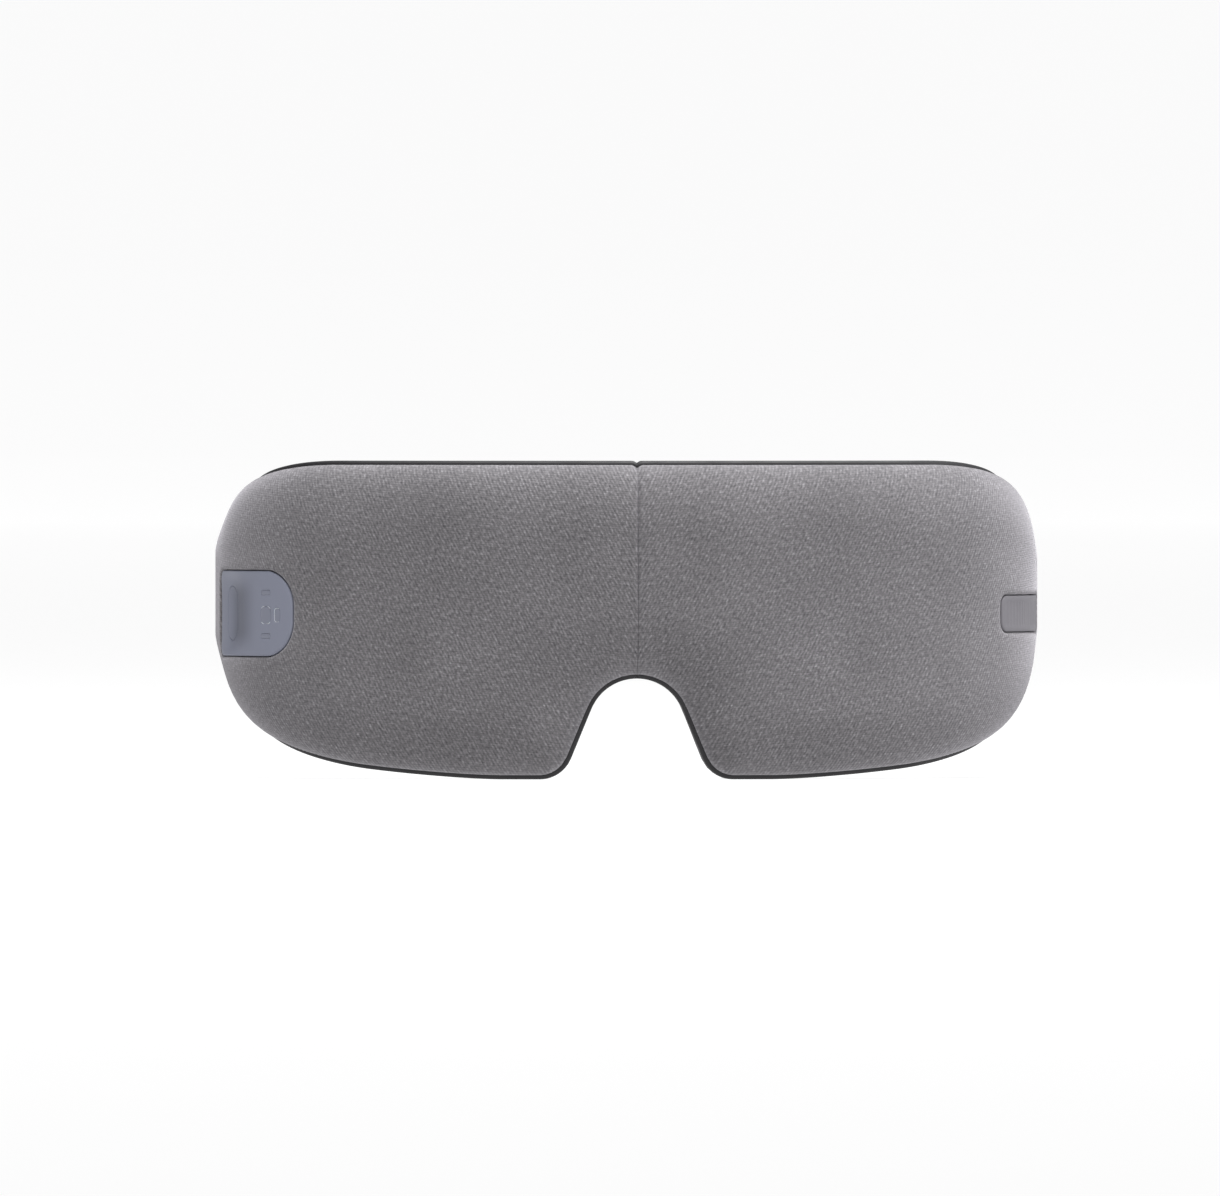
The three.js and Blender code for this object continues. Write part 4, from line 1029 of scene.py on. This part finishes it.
def pad_inside(s, z):
    """Offset of the pad's front, which clears the tray, the hinge leaf and what lies in the pocket."""
    over_hinge = depth_to(np.minimum(s, PAD_HINGE_END), PAD_HINGE_FACE)
    over_hinge = np.where(s < PAD_HINGE_END, over_hinge, 0)
    depth = np.maximum(tray_depth(s) + PAD["clear"], over_hinge)
    pocket = tray_depth(s) + POCKET_DEPTH
    depth = depth + np.maximum(pocket - depth, 0) * smooth(-rounded_distance(POCKET, s, z), -1.5, 0)
    rise = border_rise(s, z, TRAY["edge"] - PAD["clear"], TRAY["run"] + PAD["clear"])
    return PAD["rim"] - (depth + PAD["rim"]) * rise


def pad_outside(s, z):
    """Offset of the pad's face: deepest beside the nose, thin at the temple and the wing tip."""
    depth = PAD_NOSE_DEPTH + sum(change * smooth(s, start, end) for change, start, end in PAD_STEPS)
    rim = PAD["rim"] - PAD_RIM
    return rim - (depth + rim) * border_rise(s, z, PAD["edge"], PAD["run"])


def eye_distance(s, z):
    """Roughly how far (s, z) lies outside the seam round the eye."""
    share = np.hypot((s - EYE["s"]) / EYE["half_s"], (z - EYE["z"]) / EYE["half_z"])
    return (share - 1) * (EYE["half_s"] + EYE["half_z"]) / 2


def temple_seam(z):
    """Where the bowed seam at the temple lies at a height."""
    factor, middle = TEMPLE_BOW
    return TEMPLE_SEAM + factor * (z - middle) ** 2


def puffed(piece, pinned, pressure, cap, frames=16):
    """Inflates a pad's cover by cloth simulation, and limits how far each point moves, in mm."""
    rest = points_mm(piece)
    piece.vertex_groups.new(name="pinned").add(np.flatnonzero(pinned).tolist(), 1.0, "REPLACE")
    cloth = piece.modifiers.new("cloth", "CLOTH")
    settings = cloth.settings
    settings.vertex_group_mass = "pinned"
    settings.quality = 4
    settings.mass = 0.2
    settings.tension_stiffness = settings.compression_stiffness = 12
    settings.shear_stiffness = 5
    settings.bending_stiffness = 0.6
    settings.use_pressure = True
    settings.uniform_pressure_force = pressure
    settings.effector_weights.gravity = 0
    cloth.point_cache.frame_end = frames
    for number in range(1, frames + 1):
        bpy.context.scene.frame_set(number)
    step = points_mm(piece.evaluated_get(bpy.context.evaluated_depsgraph_get())) - rest
    piece.modifiers.clear()
    bpy.context.scene.frame_set(1)
    length = np.linalg.norm(step, axis=1, keepdims=True)
    step *= np.minimum(1, cap / np.maximum(length, 1e-6))
    move_points(piece, rest + step)
    piece.vertex_groups.clear()


def face_pad(name, side):
    starts = np.array([PAD["start"], PAD["start"] + 0.5])
    s, z = sheet_grid(starts, PAD["edge"], PAD["run"], 13, 1.5)
    front, rear = pad_inside(s, z), pad_outside(s, z)
    rear += PUFF_SLACK * border_rise(s, z, PAD["edge"], PAD["run"])
    rear += rolled(NOSE_ROUND, s - PAD["start"]) - EYE_HOLLOW * smooth(-eye_distance(s, z), 0, 12)
    rear = np.minimum(rear, front - PAD_RIM)
    pad = between(f"{name}_face_cushion", side, s, z, front, rear, sharp=50)

    points = points_mm(pad)
    at_s, at_z = nearest_s(side, points), points[:, 2]
    seam = np.minimum(np.abs(eye_distance(at_s, at_z)), np.abs(at_s - temple_seam(at_z)))
    outer = sheet_offset(side, points, at_s) < pad_inside(at_s, at_z) - 1.2
    rim = distance_to(OUTLINE, at_s, at_z) < 2.0
    pinned = ~outer | rim | (seam < 0.9) | (at_s < PAD["start"] + 1)
    puffed(pad, pinned, pressure=3.0, cap=2.2)
    groove(pad, side, outer, seam, depth=1.5, width=1.5)
    cut(pad, neck_tool(side))
    if name == "left":
        cut(pad, port_tool())
    shade(pad.data, 50)
    fit(pad, LEATHER, f"{name}_half", "pad_leather", f"{name}_face_pad")
    stitching(name, side, pad)


def nearest_s(side, points):
    """Length along the plan curve of the place nearest to each point."""
    table = np.linspace(0, TIP_S + 12, 1400)
    x, y = plan(table)[:2]
    found = np.empty(len(points))
    for part in slices(len(points)):
        at_x, at_y = points[part, 0, None], points[part, 1, None]
        gap = (side * at_x - x) ** 2 + (at_y - SHIFT_Y - y) ** 2
        found[part] = table[gap.argmin(1)]
    return found


def sheet_offset(side, points, s):
    """Signed distance of points from the plan curve, positive towards the front."""
    x, y, turn = plan(s)
    return (side * points[:, 0] - x) * np.sin(turn) - (points[:, 1] - SHIFT_Y - y) * np.cos(turn)


def groove(pad, side, outer, seam, depth, width):
    """Presses the sewn channels into the pad's face."""
    points = points_mm(pad)
    turn = plan(nearest_s(side, points))[2]
    out = np.column_stack([side * np.sin(turn), -np.cos(turn), 0 * turn])
    press = depth * np.exp(-((seam / width) ** 2)) * outer
    move_points(pad, points + out * press[:, None])


def stitching(name, side, pad):
    """Lockstitches along the sewn channels, laid on the pad's face."""
    turns = np.linspace(0, 2 * math.pi, 721)
    eye_s, eye_z = EYE["s"] + EYE["half_s"] * np.cos(turns), EYE["z"] + EYE["half_z"] * np.sin(turns)
    eye = np.column_stack([eye_s, eye_z])
    heights = np.linspace(6, HEIGHT - 5, 200)
    temple = np.column_stack([temple_seam(heights), heights])
    points, faces = [], []
    for run in (eye, temple):
        along = lengths_along(run)
        for mark in np.arange(STITCH / 2, along[-1] - STITCH / 2, STITCH_PITCH):
            ends = []
            for at in (mark - STITCH / 2 + 0.05, mark + STITCH / 2 - 0.05):
                s, z = np.interp(at, along, run[:, 0]), np.interp(at, along, run[:, 1])
                origin = Vector(place(side, s, z, -60.0) * MM)
                target = Vector(place(side, s, z, 0.0) * MM)
                hit, point = pad.ray_cast(origin, (target - origin).normalized())[:2]
                if hit:
                    ends.append(np.array(point) / MM)
            if len(ends) == 2:
                capsule(points, faces, *ends, PAD_THREAD)
    thread = make(f"{name}_pad_stitching", points, faces, sharp=60)
    fit(thread, THREAD, f"{name}_half", "pad_leather")


def capsule(points, faces, a, b, radius, sides=6):
    """Adds a thread that bows out between two points."""
    axis = (b - a) / np.linalg.norm(b - a)
    across = np.cross(axis, (0, 0.3, 1.0))
    across /= np.linalg.norm(across)
    up = np.cross(axis, across)
    base = len(points)
    shares = (0.0, 0.18, 0.5, 0.82, 1.0)
    sizes = (0.25, 0.85, 1.0, 0.85, 0.25)
    for share, size in zip(shares, sizes):
        middle = a + (b - a) * share
        for k in range(sides):
            turn = 2 * math.pi * k / sides
            points.append(middle + radius * size * (math.cos(turn) * across + math.sin(turn) * up))
    faces += [[base + corner for corner in face] for face in ring_faces(len(shares), sides)]


# ---------------------------------------------------------------- hinge and what crosses it
KNUCKLE_RADIUS, KNUCKLE_BORE = 3.0, 1.55
KNUCKLES = {"left": ((30.0, 36.0), (69.0, 75.0)), "right": ((36.3, 42.0), (63.0, 68.7))}
LEAF_X, LEAF_Y, LEAF_Z = (3.2, 22.0), (7.8, 9.3), (32.0, 72.0)
AXIS_Y = HINGE_Y + SHIFT_Y
PIN_RADIUS, PIN_CHAMFER = 1.25, 0.3
NUT_PROFILE = [(0.4, 1.7), (1.55, 1.7), (1.55, 0.0), (3.5, 0.0), (3.8, 0.3), (3.8, 1.3)]
NUT_CROWN, NUT_ROUND = (2.9, 1.3), 0.9  # centre and radius of the nut's rounded top corner
COVER_RADII, COVER_ANGLES = (4.2, 3.4), (math.radians(68), math.radians(112))


def block(name, x, y, z):
    """Box between ranges in the row frame, in mm."""
    return extruded(name, rectangle(x, y), [], *z)


def hinge_leaf(name, side):
    near, far = side * LEAF_X[0], side * LEAF_X[1]
    back = LEAF_Y[1] + SHIFT_Y
    leaf_y, web_y = (LEAF_Y[0] + SHIFT_Y, back), (AXIS_Y - KNUCKLE_RADIUS + 0.06, back - 0.02)
    parts = [bevelled(block("leaf", sorted((near, far)), leaf_y, LEAF_Z), 0.3)]
    for low, high in KNUCKLES[name]:
        knuckle = extruded("knuckle", circle(0, AXIS_Y, KNUCKLE_RADIUS), [], low, high)
        parts.append(bevelled(knuckle, 0.25, 2, 60))
        parts.append(block("web", sorted((0.0, near + side * 0.4)), web_y, (low + 0.2, high - 0.2)))
    leaf = joined(f"{name}_hinge_plate", parts)
    cut(leaf, extruded("bore", circle(0, AXIS_Y, KNUCKLE_BORE, 32), [], 20, 90))
    fit(leaf, STEEL, f"{name}_half", "steel", f"{name}_hinge_leaf")


def lathe(name, profile, sharp=40, count=48):
    """Turned solid about the hinge's axis, from (radius, z) points off the axis."""
    points = [(x, y, z) for radius, z in profile for x, y in circle(0, AXIS_Y, radius, count)]
    return make(name, points, ring_faces(len(profile), count), sharp=sharp)


def hinge_spine():
    low, high = box_mm("hinge_pin")[:, 2]
    narrow = PIN_RADIUS - PIN_CHAMFER
    edges = (low + PIN_CHAMFER, high - PIN_CHAMFER)
    profile = [(narrow, low), *((PIN_RADIUS, z) for z in edges), (narrow, high)]
    fit(lathe("hinge_axle", profile), STEEL, "bridge", "steel", "hinge_pin")

    crown = [(NUT_CROWN[0] + NUT_ROUND * math.cos(t), NUT_CROWN[1] + NUT_ROUND * math.sin(t))
             for t in np.radians([20, 45, 70, 90])]
    for cap, end, up in (("top_cap", 0, 1), ("bottom_cap", 1, -1)):
        base = box_mm(f"hinge_{cap}")[end, 2]
        profile = [(r, base + up * z) for r, z in [*NUT_PROFILE, *crown, (0.4, 2.2)]]
        fit(lathe(f"{cap}_nut", profile), HOUSING, "bridge", "shell_plastic", f"hinge_{cap}")

    outer, inner = COVER_RADII
    start, end = COVER_ANGLES
    outer_arc = circle(0, AXIS_Y, outer, 14, start, end)
    outline = np.vstack([outer_arc, circle(0, AXIS_Y, inner, 14, end, start)])
    cover = extruded("hinge_cover_strip", outline, [], *box_mm("hinge_rear_cover")[:, 2])
    fit(bevelled(cover, 0.3, 3, 50), HOUSING, "bridge", "shell_plastic", "hinge_rear_cover")


GUSSET_CREST, GUSSET_FOOT, GUSSET_RUN, GUSSET_THICK = 4.6, 0.6, 12.0, 0.6
PLEAT_DEPTH, PLEAT_PITCH = 0.16, 0.5
HOSE_RADIUS = 1.2


def gusset(name, side):
    """Half of the elastic web in the seam."""
    across = np.linspace(0, SHELL_END - 0.35, 15)
    heights = spaced(CROWN_TOP + 1.4, HEIGHT - 2.0, 1.2)
    s, z = np.meshgrid(across, heights, indexing="ij")
    border = np.minimum(z - heights[0], heights[-1] - z)
    crest = GUSSET_CREST * np.sqrt(1 - (1 - np.clip(border / GUSSET_RUN, 0, 1)) ** 2)
    pleat = PLEAT_DEPTH * np.cos(2 * math.pi * s / PLEAT_PITCH)
    front = crest + GUSSET_FOOT + 0.5 * s + pleat
    web = between(f"{name}_seam_gusset", side, s, z, front, front - GUSSET_THICK)
    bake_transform(web)
    fit(web, WEB, None, "gusset_fabric", "centre_gusset")


def crossing(name, side, kind, section, material, slot, node):
    """Half of a hose or ribbon that crosses the hinge. section holds (y, z) points round its middle."""
    _, y, z = middle_mm(node)
    across = np.concatenate([np.linspace(0, 4, 17), [5, 6, 7, 8]])
    points = [(side * x, y + dy, z + dz) for x in across for dy, dz in section]
    piece = make(f"{name}_{kind}", points, ring_faces(len(across), len(section)), sharp=50)
    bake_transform(piece)
    fit(piece, material, None, slot, node)


def bridge_crossings(name, side):
    low, high = box_mm("bridge_ribbon_cable") - middle_mm("bridge_ribbon_cable")
    strip = rectangle((low[1], high[1]), (low[2], high[2]))
    hose = circle(0, 0, HOSE_RADIUS, 20)
    crossing(name, side, "air_tube", hose, SILICONE, "soft_silicone", "bridge_air_hose")
    crossing(name, side, "flat_cable", strip, FILM, "circuit_board", "bridge_ribbon_cable")


# ---------------------------------------------------------------- strap
RING_Y = middle_mm("strap_buckle")[1]
STRAP_LOW, STRAP_HIGH = box_mm("left_strap")[:, 2]
RIBBON = 0.95  # thickness of the elastic
RIBBON_GAP = RIBBON / 2 + 0.04  # from the middle of the doubled part to the middle of each layer
RIB_DEPTH, WEAVE_PITCH, SELVEDGE = 0.07, 2.0, 0.5
# Lengths along from a bar: to the sewn end, to the loop's neck, and to where the two layers become one.
TAIL, MEET, MERGE = 15.0, 7.5, 21.0
WRAP_RADIUS, LOOSE_WRAP_RADIUS, WRAP_START = 2.15, 2.9, 1.34
RING_PAST, RING_CORNER = 1.7, 1.9  # how far the ring goes past the strap, and its corners' radius
LUG_PAST, LUG_THICK = 3.2, 2.8
SEAM_ROWS, STITCH_LONG, STITCH_STEP, STRAP_THREAD = (9.0, 12.5), 1.7, 2.4, 0.22


def strap_arm(name, side):
    """Woven elastic, looped round both bars and sewn back on itself."""
    bar = place(1, ANCHOR_BAR, 0, ANCHOR_OFFSET)[:2]
    ring = np.array([RING_X, RING_Y])
    chord = ring - bar
    length = np.linalg.norm(chord)
    radius = (length**2 / 4 + STRAP_SAGITTA**2) / (2 * STRAP_SAGITTA)
    inward = np.array([-chord[1], chord[0]]) / length
    centre = (bar + ring) / 2 + inward * (radius - STRAP_SAGITTA)
    start, end = (math.atan2(*(p - centre)[::-1]) for p in (bar, ring))
    total = radius * (end - start)

    def on_arc(along, side_step):
        turn = start + along / radius
        return centre + (radius + side_step) * np.array([math.cos(turn), math.sin(turn)])

    def wrap(at, outward, wrap_radius):
        """Points round a bar, from one side of the band to the other."""
        turns = np.linspace(-WRAP_START, WRAP_START - 2 * math.pi, 26)
        across = np.array([-outward[1], outward[0]])
        return [at + wrap_radius * (math.cos(t) * outward + math.sin(t) * across) for t in turns]

    path = [on_arc(a, -RIBBON_GAP) for a in np.linspace(TAIL, MEET, 6)]
    path += wrap(bar, np.array([-math.sin(start), math.cos(start)]), WRAP_RADIUS)
    steps = np.linspace(MEET, total - MEET, 90)
    lift = 1 - smooth(steps, TAIL, MERGE) + smooth(steps, total - MERGE, total - TAIL)
    path += [on_arc(a, RIBBON_GAP * share) for a, share in zip(steps, lift)]
    ring_radius = LOOSE_WRAP_RADIUS if name == "right" else WRAP_RADIUS
    path += wrap(ring, np.array([math.sin(end), -math.cos(end)]), ring_radius)
    path += [on_arc(total - a, -RIBBON_GAP) for a in np.linspace(MEET, TAIL, 6)]
    band = make(f"{name}_elastic_strap", *ribbon_mesh(side, np.array(path)), sharp=70)
    fit(band, ELASTIC, f"{name}_arm", "strap_webbing", f"{name}_strap")

    stitches, quads = [], []
    rows = [(abs(base - along), lift) for base in (0, total) for along in SEAM_ROWS for lift in (-1, 1)]
    for along, lift in rows:
        x, y = on_arc(along, lift * (2 * RIBBON_GAP - 0.08))
        for z in np.arange(2.0, STRAP_HIGH - STRAP_LOW - 2.5, STITCH_STEP):
            low = np.array([side * x, y, STRAP_LOW + z])
            capsule(stitches, quads, low, low + np.array([0, 0, STITCH_LONG]), STRAP_THREAD)
    thread = make(f"{name}_strap_stitching", stitches, quads, sharp=60)
    fit(thread, THREAD, f"{name}_arm", "strap_webbing")


def ribbon_mesh(side, path):
    """Points, faces and sheet coordinates of a ribbed band that follows an (x, y) path."""
    distance = lengths_along(path)
    even = np.arange(0, distance[-1], 0.8)
    path = np.column_stack([np.interp(even, distance, values) for values in path.T])
    for _ in range(3):
        path[1:-1] = (path[:-2] + 2 * path[1:-1] + path[2:]) / 4
    tangent = unit_rows(np.gradient(path, axis=0))
    normal = np.column_stack([-tangent[:, 1], tangent[:, 0]])
    half_width = (STRAP_HIGH - STRAP_LOW) / 2
    heights = np.linspace(0, 2 * half_width, 57)
    rib = RIB_DEPTH * (np.cos(2 * math.pi * heights / WEAVE_PITCH) - 1)
    into_edge = np.clip((np.abs(heights - half_width) - half_width + SELVEDGE) / SELVEDGE, 0, 1)
    upper = (RIBBON / 2 + rib) * np.sqrt(np.clip(1 - into_edge**2, 0.05, 1))
    section = [*zip(heights, upper), *zip(heights[::-1], -upper[::-1])]
    points, uv = [], []
    for at, out, run in zip(path, normal, even):
        for h, u in section:
            x, y = at + out * u
            points.append((side * x, y, STRAP_LOW + h))
            uv.append((run * MM, h * MM))
    return points, ring_faces(len(path), len(section)), uv


def strap_ring():
    """Rounded rectangular ring of round bar that joins the two arms."""
    low, high = STRAP_LOW - RING_PAST, STRAP_HIGH + RING_PAST
    near, low, high = RING_X - RING_CORNER, low + RING_CORNER, high - RING_CORNER
    centres = ((near, high), (-near, high), (-near, low), (near, low))
    starts = np.arange(4) * math.pi / 2
    path = np.vstack([circle(x, z, RING_CORNER, 9, start, start + math.pi / 2)
                      for (x, z), start in zip(centres, starts)])
    ahead = unit_rows(np.roll(path, -1, axis=0) - np.roll(path, 1, axis=0))
    section = circle(0, 0, BAR_RADIUS, 28)
    points = []
    for (x, z), (tx, tz) in zip(path, ahead):
        points += [(x + across * tz, RING_Y + back, z - across * tx) for across, back in section]
    ring = make("strap_ring", points, ring_faces(len(path), len(section), closed=True), sharp=60)
    fit(ring, HOUSING, "buckle", "buckle_plastic", "strap_buckle")


def strap_anchor(name, side):
    """Moulded clip on the wing tip: a plate with its neck, two lugs and the strap's bar."""
    low, high = STRAP_LOW - LUG_PAST, STRAP_HIGH + LUG_PAST
    lug_s = (TIP_S + 2.1, ANCHOR_BAR + 2.5)
    clip_parts = (
        ((TIP_S + 0.3, TIP_S + 2.3), (low, high), (-7.5, -1.5), 0.55, 4),
        (lug_s, (low, low + LUG_THICK), (-6.5, -2.5), 0.6, 4),
        (lug_s, (high - LUG_THICK, high), (-6.5, -2.5), 0.6, 4),
        ((136.0, TIP_S + 0.8), (38.0, 53.0), (-6.0, -4.0), 0.3, 3),
    )
    parts = [bevelled(sheet_block("clip_part", side, s, z, offset), width, segments)
             for s, z, offset, width, segments in clip_parts]
    x, y = place(side, ANCHOR_BAR, 0, ANCHOR_OFFSET)[:2]
    parts.append(extruded("bar", circle(x, y, BAR_RADIUS, 32), [], low + 0.5, high - 0.5))
    clip = joined(f"{name}_strap_clip", parts, sharp=38)
    fit(clip, HOUSING, f"{name}_half", "shell_plastic", f"{name}_strap_anchor")


def charging_port():
    """Folded steel shell with its tongue."""
    body = "left_half"
    outer, inner = at_port(port_outline(0.0, 13)), at_port(port_outline(-0.35, 13))
    shell = extruded("port_shell", outer, [inner], PORT_LOW, PORT_HIGH - 0.8)
    fit(shell, STEEL, body, "steel", "usb_c_port")
    strip = at_port(rectangle((-3.1, 3.1), (-0.35, 0.35)))
    tongue = extruded("port_tongue", strip, [], PORT_LOW + 0.8, PORT_HIGH - 0.9)
    fit(tongue, HOUSING, body, "shell_plastic")
    base = extruded("port_base", at_port(port_outline(-0.1, 13)), [], PORT_HIGH - 0.95, PORT_HIGH)
    fit(base, HOUSING, body, "shell_plastic")


SIDE_PIECES = (knit_cover, edge_trim, rear_tray, face_pad, hinge_leaf, gusset, bridge_crossings,
               strap_anchor, strap_arm)
for side_name, side_sign in SIDES.items():
    for build in SIDE_PIECES:
        build(side_name, side_sign)
hinge_spine()
strap_ring()
control_panel()
side_label()
charging_port()

# ---------------------------------------------------------------- carried-over CAD nodes
CARRIED = {
    "front_shell": HOUSING, "rear_shell": HOUSING, "hinge_top_cap": HOUSING,
    "hinge_bottom_cap": HOUSING, "hinge_rear_cover": HOUSING, "face_pad": LEATHER, "airbag": SILICONE,
    "heating_film": FILM, "hinge_leaf": STEEL, "screw": STEEL, "hinge_pin": STEEL,
    "strap_anchor": HOUSING, "left_strap": ELASTIC, "right_strap": ELASTIC, "strap_buckle": HOUSING,
    "vibration_motor": STEEL, "vibration_weight": BRASS, "speaker": HOUSING, "light_guide": SILICONE,
    "tact_switch": HOUSING, "board": BOARD, "usb_c_port": STEEL, "battery": FOIL, "pump_motor": STEEL,
    "pump_head": HOUSING, "pump_eccentric": BRASS, "release_valve": HOUSING, "valve_plunger": STEEL,
    "centre_gusset": WEB, "air_hose": SILICONE, "ribbon_cable": BOARD,
}
for node_name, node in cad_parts.items():
    for part, finish in CARRIED.items():
        if part in node_name:
            dress(node, finish)

# ---------------------------------------------------------------- studio
def aimed(name, data, at, direction):
    """Adds a light or a camera that looks along a direction."""
    thing = added(name, data)
    thing.location = at
    thing.rotation_euler = direction.to_track_quat("-Z", "Y").to_euler()
    return thing


def studio():
    """Pale round floor that curves up into a low wall, and large soft lights."""
    radius, bend, wall, sides = 15.0, 1.0, 2.0, 96
    curve = np.radians(np.linspace(0, 90, 7))
    profile = [(radius * share, 0.0) for share in (0.0005, 0.1, 0.4, 0.7)]
    profile += [(radius - bend + bend * math.sin(t), bend * (1 - math.cos(t))) for t in curve]
    profile.append((radius, wall))
    points = np.array([(x, y, z) for reach, z in profile for x, y in circle(0, 0, reach, sides)]) / MM
    open_top = ring_faces(len(profile), sides)[:-1]
    sweep = make("studio_sweep", points, open_top, sharp=80)
    finish = Shader("backlit_paper", roughness=0.9, Emission_Color=(1, 1, 1, 1), Emission_Strength=0.9)
    patches = finish.noise(finish.space(scale=1.0), 3.0)
    finish.colour(finish.tones(patches, (0.3, "606061"), (0.7, "636364")))
    dress(sweep, finish.material)

    world = bpy.data.worlds.new("studio")
    bpy.context.scene.world = world
    world.use_nodes = True
    background = world.node_tree.nodes["Background"]
    background.inputs["Color"].default_value = (1, 1, 1, 1)
    background.inputs["Strength"].default_value = 0.15

    def softbox(name, at, aim, size, power):
        light = bpy.data.lights.new(name, "AREA")
        light.shape = "RECTANGLE"
        light.size, light.size_y = size
        light.energy = power
        aimed(name, light, at, Vector(aim) - Vector(at))

    softbox("overhead", (0.3, -0.3, 2.2), (0, 0, 0), (2.2, 1.2), 120)
    softbox("right_side", (2.6, -0.5, 0.9), (0, 0, 0.04), (1.4, 1.4), 36)
    softbox("front_fill", (-0.4, -2.6, 0.9), (0, 0, 0.04), (1.0, 1.0), 8)


CAMERA_DISTANCE, VIEW_WIDTH = 12.0, 0.3036  # metres
CAMERA_TURN, CAMERA_RISE = math.radians(-2.35), math.radians(0.35)
AIM_DEPTH, AIM_RIGHT, AIM_UP = -0.03, -0.00475, 0.0052  # metres from the middle of the mask


def camera():
    """Long lens at the height of the mask, turned a little towards its left end."""
    data = bpy.data.cameras.new("camera")
    data.sensor_width = 36
    data.lens = data.sensor_width * CAMERA_DISTANCE / VIEW_WIDTH
    data.clip_start, data.clip_end = 0.1, 60
    sine, cosine = math.sin(CAMERA_TURN), math.cos(CAMERA_TURN)
    level = math.cos(CAMERA_RISE)
    back = Vector((sine * level, -cosine * level, math.sin(CAMERA_RISE)))
    target = Vector((0, AIM_DEPTH, HEIGHT / 2 * MM + AIM_UP)) + Vector((cosine, sine, 0)) * AIM_RIGHT
    bpy.context.scene.camera = aimed("camera", data, target + back * CAMERA_DISTANCE, -back)


studio()
camera()
bpy.context.scene.view_settings.view_transform = "Standard"
